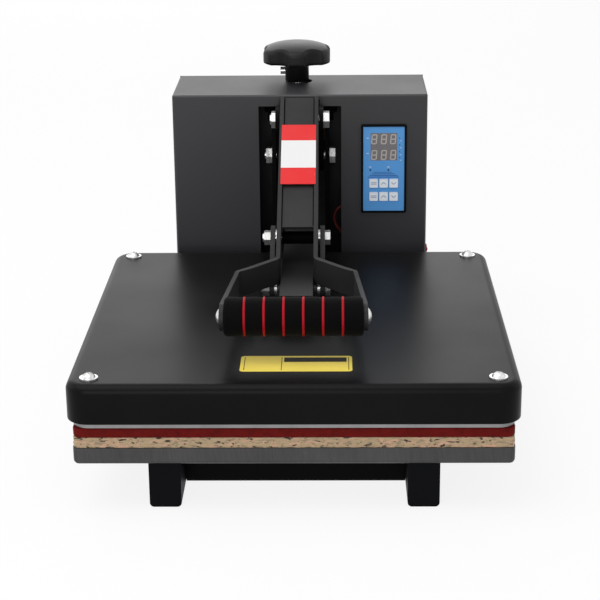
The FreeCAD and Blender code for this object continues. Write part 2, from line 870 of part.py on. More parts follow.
def lever_side():
    """Right-hand lever side: flat bar, flared out in front of the links and on to the grip."""
    middle = lever_inner_x + lever_t / 2
    tail_y = lever_edge_point(-lever_tail, lever_depth_top)[0]
    grip_front_y = grip_y - 2 * bar_depth
    run = (grip_end_x - flare_outer_x) / (flare_y - grip_y)
    grip_front_x = grip_end_x - lever_t / 2 + run * (grip_y - grip_front_y)
    path = [(middle, tail_y + lever_t), (middle, bend_y), (flare_outer_x - lever_t / 2, flare_y),
            (grip_front_x, grip_front_y)]
    half = lever_t / 2
    low = link_foot_z - link_half_width
    high = lever_edge_point(-lever_tail, 0)[1] + lever_t
    sheet = plan_plate(strip(path, half, half, bend_r + half), low, high)
    side = side_plate(lever_profile(), 0, grip_end_x + lever_t).common(sheet)
    side = side.cut(rod_x(hinge_bolt_r + slip, 0, link_outer_x, lever_pivot_y, lever_pivot_z))
    side = side.cut(rod_x(grip_screw_r + slip, grip_end_x - 2 * lever_t, grip_end_x + lever_t, grip_y, grip_z))
    return side.cut(pin_slot())


def pin_slot():
    """Slot for the link pin, with room for its whole path and the pressure travel."""
    nearest, furthest, widest = pin_track()
    half = link_bolt_r + widest + pressure_travel + air / 2
    room = pressure_travel + air / 2 + link_bolt_r
    top = plus(lever_pivot, lever_line, lever_length + nearest - room + half)
    bottom = plus(lever_pivot, lever_line, lever_length + furthest + room - half)
    return side_plate(strap(top, bottom, half), 0, link_inner_x)


def lever_web():
    """Strip let in between the lever sides, a little below their front edges."""
    seam = pin_past_pivot() + seam_past_pin
    depth = web_recess + web_t
    end = lever_tail_clip * depth / lever_depth_top - lever_tail
    corners = [lever_edge_point(end, web_recess), lever_edge_point(seam, web_recess),
               lever_edge_point(seam, depth), lever_edge_point(end, depth)]
    return side_plate([(y, z, 0) for y, z in corners], -lever_inner_x, lever_inner_x)


def grip_clearance(radius):
    """Room that a round face of this radius needs beside the lever sides, which lean at the grip."""
    return slip + radius * (grip_end_x - flare_outer_x) / (flare_y - grip_y)


def grip_tube():
    """Steel tube between the lever sides, plugged and tapped at its ends."""
    reach = grip_end_x - lever_t - grip_clearance(grip_tube_r)
    tube = rod_x(grip_tube_r, -reach, reach, grip_y, grip_z)
    plug = 3 * grip_screw_r
    tube = tube.cut(rod_x(grip_tube_r - grip_tube_wall, plug - reach, reach - plug, grip_y, grip_z))
    return tube.cut(rod_x(grip_screw_r + slip, -reach, reach, grip_y, grip_z))


def ring_places():
    """Middles of the coloured rings along the grip."""
    return [ring_pitch * (i - (ring_count - 1) / 2) for i in range(ring_count)]


def foam_grip():
    """Foam sleeve with a groove for each ring."""
    half = grip_end_x - lever_t - grip_clearance(grip_r)
    sleeve = rod_x(grip_r, -half, half, grip_y, grip_z)
    sleeve = sleeve.makeFillet(foam_edge_r, [edge for edge in sleeve.Edges if edge.Curve.TypeId == "Part::GeomCircle"])
    for x in ring_places():
        groove = rod_x(grip_r + ring_proud, x - ring_width / 2, x + ring_width / 2, grip_y, grip_z)
        groove = groove.cut(rod_x(grip_r - ring_depth, x - ring_width / 2, x + ring_width / 2, grip_y, grip_z))
        sleeve = sleeve.cut(groove)
    return sleeve.cut(rod_x(grip_tube_r + slip, -half, half, grip_y, grip_z))


def grip_rings():
    """Rubber rings seated in the grooves."""
    rings = []
    for x in ring_places():
        ring = rod_x(grip_r + ring_proud, x - ring_width / 2, x + ring_width / 2, grip_y, grip_z)
        bore = rod_x(grip_r - ring_depth + slip, x - ring_width / 2, x + ring_width / 2, grip_y, grip_z)
        rings.append(ring.cut(bore))
    return Part.Compound(rings)


def grip_screws():
    """Domed screws through the lever sides into the grip tube."""
    dome_r = (grip_screw_head_r ** 2 + grip_screw_head_h ** 2) / (2 * grip_screw_head_h)
    seat = grip_end_x + grip_clearance(grip_screw_head_r)
    top = seat + grip_screw_head_h
    ball = Part.makeSphere(dome_r, FreeCAD.Vector(top - dome_r, grip_y, grip_z))
    head = ball.common(rod_x(grip_screw_head_r, seat, top, grip_y, grip_z))
    shank = rod_x(grip_screw_r, grip_end_x - 4 * grip_screw_r, seat, grip_y, grip_z)
    return Part.Compound(both_sides(head.fuse(shank)))


# ---------------------------------------------------------------- pressure bracket, screw and knob
def nut_block_rear_y():
    """Rear face of the nut block, which is centred on the screw."""
    return screw_y + nut_block_depth / 2


def bracket_ears():
    """Pair of plates that carry the lever pivot, slotted at the hinge bolt to move up and down."""
    rear = nut_block_rear_y()
    top = nut_block_top_z
    bottom = top - nut_block_height
    nose = lever_pivot_y - ear_end_r
    outline = [(nose, lever_pivot_z + ear_end_r, ear_end_r),
               (lever_pivot_y + ear_end_r, lever_pivot_z + ear_end_r, ear_end_r),
               (hinge_y, top + ear_top_drop / 2, ear_waist_r), (rear, top, ear_corner_r), (rear, bottom, ear_corner_r),
               (hinge_y + ear_hinge_r, hinge_z - ear_hinge_r, ear_hinge_r / 2),
               (hinge_y - ear_hinge_r, hinge_z - ear_hinge_r, ear_hinge_r / 2),
               (nose, lever_pivot_z - ear_end_r, ear_end_r)]
    plate = side_plate(outline, ear_inner_x, ear_inner_x + ear_t)
    half = hinge_bolt_r + slip
    reach = pressure_travel + slip
    slot = strap((hinge_y, hinge_z - reach), (hinge_y, hinge_z + reach), half)
    plate = plate.cut(side_plate(slot, ear_inner_x, ear_inner_x + ear_t))
    bolt_hole = rod_x(hinge_bolt_r + slip, ear_inner_x, ear_inner_x + ear_t, lever_pivot_y, lever_pivot_z)
    return Part.Compound(both_sides(plate.cut(bolt_hole)))


def nut_block():
    """Bronze nut between the ears, and the wear pads that guide the ears between the posts."""
    rear = nut_block_rear_y()
    bottom = nut_block_top_z - nut_block_height
    nut = block(-ear_inner_x, ear_inner_x, rear - nut_block_depth, rear, bottom, nut_block_top_z)
    nut = nut.cut(rod_z(screw_r + slip, bottom, nut_block_top_z, screw_x, screw_y))
    outer = ear_inner_x + ear_t
    wear_pad = block(outer, post_inner_x - air, rear - nut_block_depth, rear, bottom, nut_block_top_z)
    return Part.Compound([nut] + both_sides(wear_pad))


def lever_bolt():
    """Bolt and nut that carry the lever between the ears."""
    outer = ear_inner_x + ear_t
    return cross_bolt(hinge_bolt_r, -outer, outer, lever_pivot_y, lever_pivot_z, lever_bolt_nut_t, lever_bolt_head_t)


def pressure_screw():
    """Screw from the knob down through the bridge and the nut block, with the knob's set screw."""
    stud = rod_z(screw_r, screw_foot_z, knob_z, screw_x, screw_y)
    return Part.Compound([stud, knob_set_screw()])


def thrust_collars():
    """Collars on the screw, above and below the bridge."""
    top = post_top_z + bridge_t + air
    collars = []
    for z0 in (top, post_top_z - air - collar_t):
        collar = rod_z(collar_r, z0, z0 + collar_t, screw_x, screw_y)
        collars.append(collar.cut(rod_z(screw_r + slip, z0, z0 + collar_t, screw_x, screw_y)))
    return Part.Compound(collars)


def pressure_knob():
    """Lobed knob with a domed top, a lobe in front, and a hub that comes down to the box."""
    top = knob_z + knob_height
    body = rod_z(knob_r, knob_z, top, screw_x, screw_y)
    dome_r = (knob_r ** 2 + knob_dome ** 2) / (2 * knob_dome)
    dome = Part.makeSphere(dome_r, FreeCAD.Vector(screw_x, screw_y, top - dome_r))
    body = body.common(dome)
    away = knob_r + knob_notch_r - knob_notch_depth
    for i in range(knob_notches):
        angle = math.radians(360 * (i + 0.5) / knob_notches - 90)
        x = screw_x + away * math.cos(angle)
        y = screw_y + away * math.sin(angle)
        body = body.cut(rod_z(knob_notch_r, knob_z, top, x, y))
    body = body.fuse(rod_z(hub_r, box_top_z + hub_lift, knob_z, screw_x, screw_y)).removeSplitter()
    bore = rod_z(screw_r + slip, box_top_z + hub_lift, knob_z, screw_x, screw_y)
    set_hole_z = (box_top_z + hub_lift + knob_z) / 2
    set_screw_hole = rod_x(set_screw_r + slip, screw_x - hub_r, screw_x, screw_y, set_hole_z)
    return body.cut(bore).cut(set_screw_hole)


def knob_set_screw():
    """Screw that clamps the hub on the pressure screw."""
    z = (box_top_z + hub_lift + knob_z) / 2
    stem = rod_x(set_screw_r, screw_x - hub_r - 2 * set_screw_r, screw_x - screw_r - slip, screw_y, z)
    head = rod_x(set_screw_head_r, screw_x - hub_r - 2 * set_screw_r, screw_x - hub_r - slip, screw_y, z)
    return stem.fuse(head)


# ---------------------------------------------------------------- mast
def mast_plate_bolt_x():
    """Bolts that hold the mast plate on the rails."""
    return rail_outer_x - tube_width + mast_plate_bolt_inset


def mast_plate_bolt_y():
    """Front and rear bolts of the mast plate."""
    return [mast_plate_front_y + post_bolt_inset, mast_plate_rear_y() - post_bolt_inset]


def mast_plate_rear_y():
    """Rear edge of the mast plate, just inside the back panel."""
    return panel_inner_y - 2 * box_sheet


def post_bolt_places():
    """Bolts through the feet of the posts."""
    x = post_inner_x + post_t + post_foot / 2
    rows = (post_front_y + post_bolt_inset, post_rear_y - post_bolt_inset)
    return [(side * x, y) for side in (-1, 1) for y in rows]


def mast_base_plate():
    """Plate across both rails that carries the posts."""
    half = mast_plate_width / 2
    outline = rectangle(-half, half, mast_plate_front_y, mast_plate_rear_y(), mast_plate_corner_r)
    plate = plan_plate(outline, tube_height, mast_floor_z)
    for x, y in post_bolt_places():
        plate = plate.cut(rod_z(mast_bolt_r + slip, tube_height, mast_floor_z, x, y))
    for y in mast_plate_bolt_y():
        for x in (-mast_plate_bolt_x(), mast_plate_bolt_x()):
            plate = plate.cut(rod_z(mast_bolt_r + slip, tube_height, mast_floor_z, x, y))
    return plate


def post():
    """Right-hand post: tapered plate with a foot turned outwards."""
    inner = post_inner_x
    outer = post_inner_x + post_t
    outline = [(post_front_y, mast_floor_z, 0), (post_rear_y, mast_floor_z, 0),
               (post_rear_y, post_top_z, plate_corner_r), (hinge_y - post_cover / 2, post_top_z, post_shoulder_r),
               (hinge_y - post_cover, hinge_z, post_waist_r), (post_front_y, mast_floor_z + post_foot, post_foot_r)]
    plate = side_plate(outline, inner, outer)
    foot = block(outer, outer + post_foot, post_front_y, post_rear_y, mast_floor_z, mast_floor_z + post_foot_t)
    plate = plate.fuse(foot).removeSplitter()
    plate = plate.cut(rod_x(hinge_bolt_r + slip, inner, outer, hinge_y, hinge_z))
    for x, y in post_bolt_places():
        if x > 0:
            plate = plate.cut(rod_z(mast_bolt_r + slip, mast_floor_z, mast_floor_z + post_foot_t, x, y))
    for y in bridge_bolt_y:
        plate = plate.cut(rod_x(bridge_bolt_r + slip, inner, outer, y, post_top_z - bridge_bolt_drop))
    return plate


def top_bridge():
    """Saddle across the tops of the posts, which holds the pressure screw."""
    outer = post_inner_x + post_t
    wide = outer + bridge_tab_t
    saddle = block(-wide, wide, bridge_front_y, post_rear_y, post_top_z - bridge_tab_h, post_top_z + bridge_t)
    saddle = saddle.cut(block(-outer, outer, bridge_front_y, post_rear_y, post_top_z - bridge_tab_h, post_top_z))
    saddle = saddle.cut(rod_z(screw_r + slip, post_top_z, post_top_z + bridge_t, screw_x, screw_y))
    for y in bridge_bolt_y:
        saddle = saddle.cut(rod_x(bridge_bolt_r + slip, -wide, wide, y, post_top_z - bridge_bolt_drop))
    return saddle


def mast_bolts():
    """Bolts of the mast plate, the feet and the bridge."""
    pieces = []
    for x, y in post_bolt_places():
        pieces.append(hex_bolt_z(mast_bolt_r, mast_floor_z + post_foot_t, tube_height, x, y))
    for y in mast_plate_bolt_y():
        for x in (-mast_plate_bolt_x(), mast_plate_bolt_x()):
            pieces.append(hex_bolt_z(mast_bolt_r, mast_floor_z, tube_height - tube_wall, x, y))
    z = post_top_z - bridge_bolt_drop
    outer = post_inner_x + post_t + bridge_tab_t
    for y in bridge_bolt_y:
        shank = rod_x(bridge_bolt_r, post_inner_x, outer, y, z)
        head = hexagon_x(hex_ratio * bridge_bolt_r, outer, outer + hex_height_ratio * bridge_bolt_r, y, z)
        pieces += both_sides(shank.fuse(head))
    return Part.Compound(pieces)


def hinge_bolt():
    """Bolt and nut of the main hinge, through both posts."""
    outer = post_inner_x + post_t
    return cross_bolt(hinge_bolt_r, -outer, outer, hinge_y, hinge_z, link_nut_t, lever_bolt_head_t)


# ---------------------------------------------------------------- control box
def flange_screw_x():
    """Screws through the box flange into the rail."""
    return box_side_x - box_flange + small_screw_head_r / 2


def flange_screw_y():
    """Front and rear flange screws."""
    return [box_front_y + 2 * box_flange, box_back_y - 2 * box_flange]


def tail_notch_z():
    """Top of the notch that lets the lever's tail swing past the front of the box."""
    inset = lever_tail_corner_r
    swing = math.hypot(lever_tail - inset, lever_edge_above_pivot - inset) + inset
    ahead = box_front_y - lever_pivot_y
    return lever_pivot_z + math.sqrt(swing ** 2 - ahead ** 2) + pressure_travel + air


def back_screw_places():
    """Screws of the back panel, as (x, z)."""
    x = box_side_x - box_sheet - back_screw_inset
    middle = box_z + box_height / 2
    rise = box_height / 2 - box_sheet - back_screw_inset
    return [(side * x, middle + up * rise) for side in (-1, 1) for up in (-1, 0, 1)]


def control_box_shell():
    """Folded sheet box, open at the back, with the slot for the lever and the arm."""
    outline = [(-box_side_x, box_front_y, box_corner_r), (box_side_x, box_front_y, box_corner_r),
               (box_side_x, panel_inner_y, 0), (-box_side_x, panel_inner_y, 0)]
    shell = plan_plate(outline, box_z, box_top_z)
    rounded = [edge for edge in edges_at(shell, box_top_z) if edge.BoundBox.YMin < panel_inner_y - 1]
    shell = shell.makeFillet(box_edge_r, rounded)
    inner_x = box_side_x - box_sheet
    inner_y = box_front_y + box_sheet
    shell = shell.cut(block(-inner_x, inner_x, inner_y, panel_inner_y, box_z, box_top_z - box_sheet))
    for x, z in back_screw_places():
        tab_x = sorted((math.copysign(inner_x, x), x - math.copysign(back_screw_inset, x)))
        tab_z = (z - back_screw_inset, z + back_screw_inset)
        tab = block(tab_x[0], tab_x[1], panel_inner_y - box_sheet, panel_inner_y, tab_z[0], tab_z[1])
        shell = shell.fuse(tab.cut(rod_y(small_screw_r + slip, panel_inner_y - box_sheet, panel_inner_y, x, z)))
    for side in (-1, 1):
        flange_x = sorted((side * inner_x, side * (box_side_x - box_flange)))
        flange = block(flange_x[0], flange_x[1], inner_y, panel_inner_y, box_z, box_z + box_sheet)
        for y in flange_screw_y():
            flange = flange.cut(rod_z(small_screw_r + slip, box_z, box_z + box_sheet, side * flange_screw_x(), y))
        shell = shell.fuse(flange)
    slot = rectangle(-slot_half_width, slot_half_width, slot_bottom_z, box_top_z - slot_top_inset, slot_corner_r)
    shell = shell.cut(front_plate(slot, box_front_y, inner_y))
    notch_x = lever_inner_x + lever_t + notch_gap
    shell = shell.cut(block(-notch_x, notch_x, box_front_y, inner_y, slot_bottom_z + box_sheet, tail_notch_z()))
    shell = shell.cut(rod_z(knob_hole_r, box_top_z - box_sheet, box_top_z, screw_x + knob_hole_shift, screw_y))
    half_w = housing_width / 2 + slip
    half_h = housing_height / 2 + slip
    shell = shell.cut(block(controller_x - half_w, controller_x + half_w, box_front_y, inner_y,
                            controller_z - half_h, controller_z + half_h))
    half_w = switch_width / 2 - switch_wall + slip
    half_h = switch_height / 2 - switch_wall + slip
    shell = shell.cut(block(inner_x, box_side_x, switch_y - half_w, switch_y + half_w,
                            switch_z - half_h, switch_z + half_h))
    return shell.removeSplitter()


def control_box_back():
    """Screwed back panel with the opening for the power inlet."""
    panel = block(-box_side_x, box_side_x, panel_inner_y, box_back_y, box_z, box_top_z)
    for x, z in back_screw_places():
        panel = panel.cut(rod_y(small_screw_r + slip, panel_inner_y, box_back_y, x, z))
    half_w = inlet_body_width / 2 + slip
    half_h = inlet_body_height / 2 + slip
    panel = panel.cut(block(inlet_x - half_w, inlet_x + half_w, panel_inner_y, box_back_y,
                            inlet_z - half_h, inlet_z + half_h))
    for side in (-1, 1):
        x = inlet_x + side * inlet_screw_spacing / 2
        panel = panel.cut(rod_y(small_screw_r + slip, panel_inner_y, box_back_y, x, inlet_z))
    return panel


def box_screws():
    """Screws of the back panel, the inlet and the bottom flanges."""
    pieces = []
    for x, z in back_screw_places():
        shank = rod_y(small_screw_r, box_back_y - box_sheet - small_screw_length, box_back_y, x, z)
        pieces.append(shank.fuse(rod_y(small_screw_head_r, box_back_y, box_back_y + small_screw_head_h, x, z)))
    for side in (-1, 1):
        for y in flange_screw_y():
            x = side * flange_screw_x()
            seat = box_z + box_sheet
            shank = rod_z(small_screw_r, tube_height - tube_wall, seat, x, y)
            pieces.append(shank.fuse(rod_z(flange_screw_head_r, seat, seat + small_screw_head_h, x, y)))
    return Part.Compound(pieces)


# ---------------------------------------------------------------- controller
def controller_block(width, height, y0, y1, radius=0.0):
    """Block centred on the controller."""
    outline = rectangle(controller_x - width / 2, controller_x + width / 2,
                        controller_z - height / 2, controller_z + height / 2, radius)
    return front_plate(outline, y0, y1)


def controller_housing():
    """Case behind the panel with its bezel in front, hollow behind the face for the buttons."""
    bezel_y = box_front_y - bezel_t
    case = controller_block(bezel_width, bezel_height, bezel_y, box_front_y, bezel_corner_r)
    case = case.fuse(controller_block(housing_width, housing_height, box_front_y, box_front_y + housing_depth))
    face_width = bezel_width - 2 * face_margin
    face_height = bezel_height - 2 * face_margin
    face_back_y = face_front_y + face_t
    case = case.cut(controller_block(face_width, face_height, bezel_y, face_back_y))
    well_width = face_width - 2 * face_margin
    well_height = face_height - 2 * face_margin
    return case.cut(controller_block(well_width, well_height, face_back_y, face_back_y + button_well)).removeSplitter()


def button_centres():
    """Places (x, z) of the six keys, row by row."""
    return [(controller_x + column * button_pitch_x, controller_z + row)
            for row in button_rows for column in button_columns]


def key_block(x, z, grow, y0, y1):
    """Rounded block of a key's size, grown by a clearance all round."""
    half_w = button_width / 2 + grow
    half_h = button_height / 2 + grow
    return front_plate(rectangle(x - half_w, x + half_w, z - half_h, z + half_h, button_corner_r), y0, y1)


def controller_face():
    """Face plate with holes for the keys and the display window."""
    width = bezel_width - 2 * face_margin - 2 * slip
    height = bezel_height - 2 * face_margin - 2 * slip
    plate = controller_block(width, height, face_front_y, face_front_y + face_t)
    for x, z in button_centres():
        plate = plate.cut(key_block(x, z, air, face_front_y, face_front_y + face_t))
    return plate.cut(window_block(0, face_front_y + face_t))


def window_block(grow, y1):
    """Block of the display window's size."""
    half_w = window_width / 2 - grow
    z0 = controller_z + window_rise - window_height / 2 + grow
    z1 = controller_z + window_rise + window_height / 2 - grow
    return block(controller_x - half_w, controller_x + half_w, face_front_y, y1, z0, z1)


def display_window():
    """Dark window set in the face plate."""
    return window_block(slip, face_front_y + face_t)


def controller_key(x, z):
    """One key, which slides into the well behind the face."""
    front = face_front_y - button_proud
    return key_block(x, z, 0, front, front + button_depth)


# ---------------------------------------------------------------- switch, inlet, relay, wires
def switch_well_half_height():
    """Half height of the well that the rocker swings in."""
    return math.hypot(rocker_half_height, rocker_rise) + air


def switch_housing():
    """Snap-in switch body with a bezel outside the wall."""
    inner_w = switch_width / 2 - switch_wall
    inner_h = switch_height / 2 - switch_wall
    bezel = block(box_side_x, box_side_x + switch_bezel_t, switch_y - switch_width / 2, switch_y + switch_width / 2,
                  switch_z - switch_height / 2, switch_z + switch_height / 2)
    body = block(box_side_x - switch_body_depth, box_side_x, switch_y - inner_w, switch_y + inner_w,
                 switch_z - inner_h, switch_z + inner_h)
    half_w = rocker_width / 2 + air
    half_h = switch_well_half_height()
    well = block(box_side_x - switch_body_depth / 2, box_side_x + switch_bezel_t, switch_y - half_w,
                 switch_y + half_w, switch_z - half_h, switch_z + half_h)
    inner = half_w - rocker_pivot_depth
    pivots = rod_y(rocker_pivot_r, switch_y - half_w, switch_y - inner, box_side_x, switch_z)
    pivots = pivots.fuse(rod_y(rocker_pivot_r, switch_y + inner, switch_y + half_w, box_side_x, switch_z))
    return bezel.fuse(body).cut(well).fuse(pivots).removeSplitter()


def power_rocker():
    """Rocker with a hollow face, tipped to its off side."""
    x = box_side_x
    z = switch_z
    outline = [(x - rocker_root, z - rocker_half_height / 2, 0),
               (x + rocker_rise, z - rocker_half_height, rocker_lip_r),
               (x + rocker_rise - rocker_dip, z, rocker_hollow_r),
               (x + rocker_rise, z + rocker_half_height, rocker_lip_r),
               (x - rocker_root, z + rocker_half_height / 2, 0)]
    rocker = front_plate(outline, switch_y - rocker_width / 2, switch_y + rocker_width / 2)
    for side in (-1, 1):
        depth = rocker_pivot_depth - air
        ends = sorted((switch_y + side * rocker_width / 2, switch_y + side * (rocker_width / 2 - depth)))
        rocker = rocker.cut(rod_y(rocker_pivot_r + slip, ends[0], ends[1], x, z))
    return rocker.rotate(FreeCAD.Vector(x, switch_y, z), FreeCAD.Vector(0, 1, 0), rocker_tilt)


def power_inlet():
    """Three-pin mains inlet on the back panel."""
    flange = block(inlet_x - inlet_flange_width / 2, inlet_x + inlet_flange_width / 2, box_back_y,
                   box_back_y + inlet_flange_t, inlet_z - inlet_flange_height / 2, inlet_z + inlet_flange_height / 2)
    half_w = inlet_body_width / 2
    half_h = inlet_body_height / 2
    body = block(inlet_x - half_w, inlet_x + half_w, box_back_y - inlet_body_depth, box_back_y,
                 inlet_z - half_h, inlet_z + half_h)
    inlet = flange.fuse(body)
    mouth_y = box_back_y + inlet_flange_t
    floor_y = mouth_y - inlet_socket_depth
    half_w = inlet_socket_width / 2
    half_h = inlet_socket_height / 2
    inlet = inlet.cut(block(inlet_x - half_w, inlet_x + half_w, floor_y, mouth_y, inlet_z - half_h, inlet_z + half_h))
    for column, row in ((-1, -0.5), (0, 0.5), (1, -0.5)):
        x = inlet_x + column * inlet_pin_pitch
        z = inlet_z + row * inlet_socket_height / 4
        inlet = inlet.fuse(block(x - inlet_pin_width / 2, x + inlet_pin_width / 2, floor_y,
                                 mouth_y - inlet_pin_recess, z - inlet_pin_height / 2, z + inlet_pin_height / 2))
    for side in (-1, 1):
        x = inlet_x + side * inlet_screw_spacing / 2
        inlet = inlet.cut(rod_y(small_screw_r + slip, box_back_y, mouth_y, x, inlet_z))
    return inlet.removeSplitter()


def solid_state_relay():
    """Relay block with two terminal screws, screwed to the back panel."""
    x0 = relay_x - relay_width / 2
    relay = block(x0, x0 + relay_width, relay_front_y, panel_inner_y,
                  relay_z - relay_height / 2, relay_z + relay_height / 2)
    for up in (-1, 1):
        z = relay_z + up * relay_height / 3
        relay = relay.fuse(rod_y(relay_terminal_r, relay_front_y - relay_terminal_h, relay_front_y, relay_x, z))
    return relay.removeSplitter()


def lead(points):
    """Round wire along straight runs joined by tangent arcs."""
    path = [FreeCAD.Vector(*point) for point in points]
    edges = []
    start = path[0]
    for i in range(1, len(path) - 1):
        back = (path[i - 1] - path[i]).normalize()
        ahead = (path[i + 1] - path[i]).normalize()
        half = back.getAngle(ahead) / 2
        reach = wire_bend_r / math.tan(half)
        middle = (back + ahead).normalize() * (wire_bend_r / math.sin(half) - wire_bend_r)
        edges.append(Part.LineSegment(start, path[i] + back * reach).toShape())
        arc = Part.Arc(path[i] + back * reach, path[i] + middle, path[i] + ahead * reach)
        edges.append(arc.toShape())
        start = path[i] + ahead * reach
    edges.append(Part.LineSegment(start, path[-1]).toShape())
    along = path[1] - path[0]
    section = Part.Wire(Part.makeCircle(wire_r, path[0], along))
    return Part.Wire(edges).makePipeShell([section], True, False)


def box_wires():
    """Leads from the controller down in front of the right post to the inlet, and from the relay."""
    case_y = box_front_y + housing_depth
    front = (box_front_y + box_sheet + post_front_y) / 2
    inlet_y = box_back_y - inlet_body_depth
    bolt_top = mast_floor_z + post_foot_t + 2 * mast_bolt_r
    leads = []
    for i, pin_x in enumerate((inlet_x - inlet_pin_pitch, inlet_x + inlet_pin_pitch)):
        beside = post_inner_x + post_t + wire_gap + i * wire_pitch
        start_x = controller_x + i * wire_pitch
        start_z = controller_z - wire_start_drop - i * wire_pitch
        low = bolt_top + 2 * wire_r + (1 - i) * wire_pitch
        leads.append(lead([
            (start_x, case_y, start_z), (start_x, case_y + wire_run_out, start_z),
            (beside + wire_sweep, case_y + wire_run_out / 2, start_z - wire_fall),
            (beside, front, start_z - wire_fall - wire_bend_r), (beside, front, low),
            (pin_x + wire_sweep, front, low), (pin_x, front + wire_fall, low + wire_rise),
            (pin_x, inlet_y - wire_sweep, inlet_z), (pin_x, inlet_y, inlet_z)]))
    terminal_y = relay_front_y - relay_terminal_h
    terminal_z = relay_z - relay_height / 3
    earth_z = inlet_z + wire_pitch
    leads.append(lead([(relay_x, terminal_y, terminal_z), (relay_x, terminal_y - wire_run_out, terminal_z),
                       (inlet_x, inlet_y - wire_sweep, earth_z), (inlet_x, inlet_y, earth_z)]))
    return Part.Compound(leads)


# ---------------------------------------------------------------- export
def main():
    """Build every node and write its file."""
    os.makedirs("parts", exist_ok=True)
    nodes = {
        "base_rail_left": base_rail(-rail_centre_x),
        "base_rail_right": base_rail(rail_centre_x),
        "rail_end_plugs": rail_plugs(),
        "lower_platen": lower_platen(),
        "platen_bolts": platen_bolts(),
        "felt_pad": pad(felt_z, silicone_z),
        "silicone_pad": pad(silicone_z, silicone_top_z),
        "cover": cover(),
        "heater_plate": heater_plate(),
        "insulation": insulation(),
        "head_spacers": head_spacers(),
        "cover_screws": cover_screws(),
        "head_arm": head_arm(),
        "head_mount_plate": head_mount_plate(),
        "mount_bolts": mount_bolts(),
        "arm_cheeks": arm_cheeks(),
        "link_plate_left": mirrored(link_plate()),
        "link_plate_right": link_plate(),
        "link_washers": link_washers(),
        "link_bolt_front": link_bolt(link_foot),
        "link_bolt_rear": link_bolt(link_pin),
        "lever_side_left": mirrored(lever_side()),
        "lever_side_right": lever_side(),
        "lever_web": lever_web(),
        "grip_tube": grip_tube(),
        "foam_grip": foam_grip(),
        "grip_rings": grip_rings(),
        "grip_screws": grip_screws(),
        "bracket_ears": bracket_ears(),
        "nut_block": nut_block(),
        "lever_bolt": lever_bolt(),
        "pressure_screw": pressure_screw(),
        "thrust_collars": thrust_collars(),
        "pressure_knob": pressure_knob(),
        "mast_base_plate": mast_base_plate(),
        "post_left": mirrored(post()),
        "post_right": post(),
        "top_bridge": top_bridge(),
        "mast_bolts": mast_bolts(),
        "hinge_bolt": hinge_bolt(),
        "control_box_shell": control_box_shell(),
        "control_box_back": control_box_back(),
        "box_screws": box_screws(),
        "controller_housing": controller_housing(),
        "controller_face": controller_face(),
        "display_window": display_window(),
        "switch_housing": switch_housing(),
        "power_rocker": power_rocker(),
        "power_inlet": power_inlet(),
        "solid_state_relay": solid_state_relay(),
        "box_wires": box_wires(),
    }
    nodes.update(crossmembers())
    for i, (x, z) in enumerate(button_centres(), start=1):
        nodes["controller_key_" + str(i)] = controller_key(x, z)
    save_all(nodes)


main()
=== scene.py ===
"""Looks of a bench clamshell heat press, laid out as an add-on.

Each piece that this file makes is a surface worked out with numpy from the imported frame's own boxes,
so it stays in place when the frame's sizes change. Lengths are in metres, with X to the operator's
right, Y to the back and Z up from the bench.
"""
import json
import math

import bpy
import numpy as np
from bpy.props import FloatProperty, FloatVectorProperty, PointerProperty
from bpy.types import Operator, Panel, PropertyGroup
from mathutils import Matrix, Vector

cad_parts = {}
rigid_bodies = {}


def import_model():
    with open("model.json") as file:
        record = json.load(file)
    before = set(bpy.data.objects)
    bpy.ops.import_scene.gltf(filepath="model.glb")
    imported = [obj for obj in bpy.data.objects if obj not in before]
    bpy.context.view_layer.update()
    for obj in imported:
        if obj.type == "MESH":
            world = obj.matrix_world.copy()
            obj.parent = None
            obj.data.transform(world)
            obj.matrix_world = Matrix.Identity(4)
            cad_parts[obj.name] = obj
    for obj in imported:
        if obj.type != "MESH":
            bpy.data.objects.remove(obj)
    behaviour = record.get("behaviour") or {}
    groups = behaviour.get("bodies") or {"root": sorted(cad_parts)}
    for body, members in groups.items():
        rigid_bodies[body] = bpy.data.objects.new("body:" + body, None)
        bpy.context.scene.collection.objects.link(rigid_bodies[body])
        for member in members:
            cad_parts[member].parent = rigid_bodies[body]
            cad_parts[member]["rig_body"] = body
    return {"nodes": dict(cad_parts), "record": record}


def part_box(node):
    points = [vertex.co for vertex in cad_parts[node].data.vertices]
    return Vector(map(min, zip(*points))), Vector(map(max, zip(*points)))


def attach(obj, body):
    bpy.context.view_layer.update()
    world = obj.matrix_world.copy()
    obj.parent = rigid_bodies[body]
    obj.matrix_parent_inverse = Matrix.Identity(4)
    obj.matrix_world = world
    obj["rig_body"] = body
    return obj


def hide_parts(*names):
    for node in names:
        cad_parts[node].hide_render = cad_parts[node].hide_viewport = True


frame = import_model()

bl_info = {
    "name": "Heat press looks",
    "version": (1, 0, 0),
    "blender": (4, 5, 0),
    "location": "3D View > Sidebar > Heat Press",
    "description": "Finishes and fine pieces of a bench clamshell heat press",
    "category": "Object",
}

NODES = frame["nodes"]
LEVER_SLOPE = math.radians(28.9)
WEB_THICKNESS = 0.003
OWN_FINISH = {"mast_bolts": "blackened_steel"}  # nodes that differ from their slot's finish

UNIT = (0.0, 1.0)
CLOUD_RANGE = (0.3, 0.7)  # where nearly all of a slow noise lies
GLOSS_RANGE = (0.35, 0.65)  # where nearly all of a mean of two noises lies
DUST_COLOUR = (0.30, 0.29, 0.28)


# ------------------------------------------------------------------ sizes read from the frame
def low(node):
    """Lowest corner of a frame node."""
    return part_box(node)[0]


def high(node):
    """Highest corner of a frame node."""
    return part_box(node)[1]


def middle(node):
    """Centre of a frame node's box."""
    return (low(node) + high(node)) / 2


def span(node):
    """Width, depth and height of a frame node's box."""
    return high(node) - low(node)


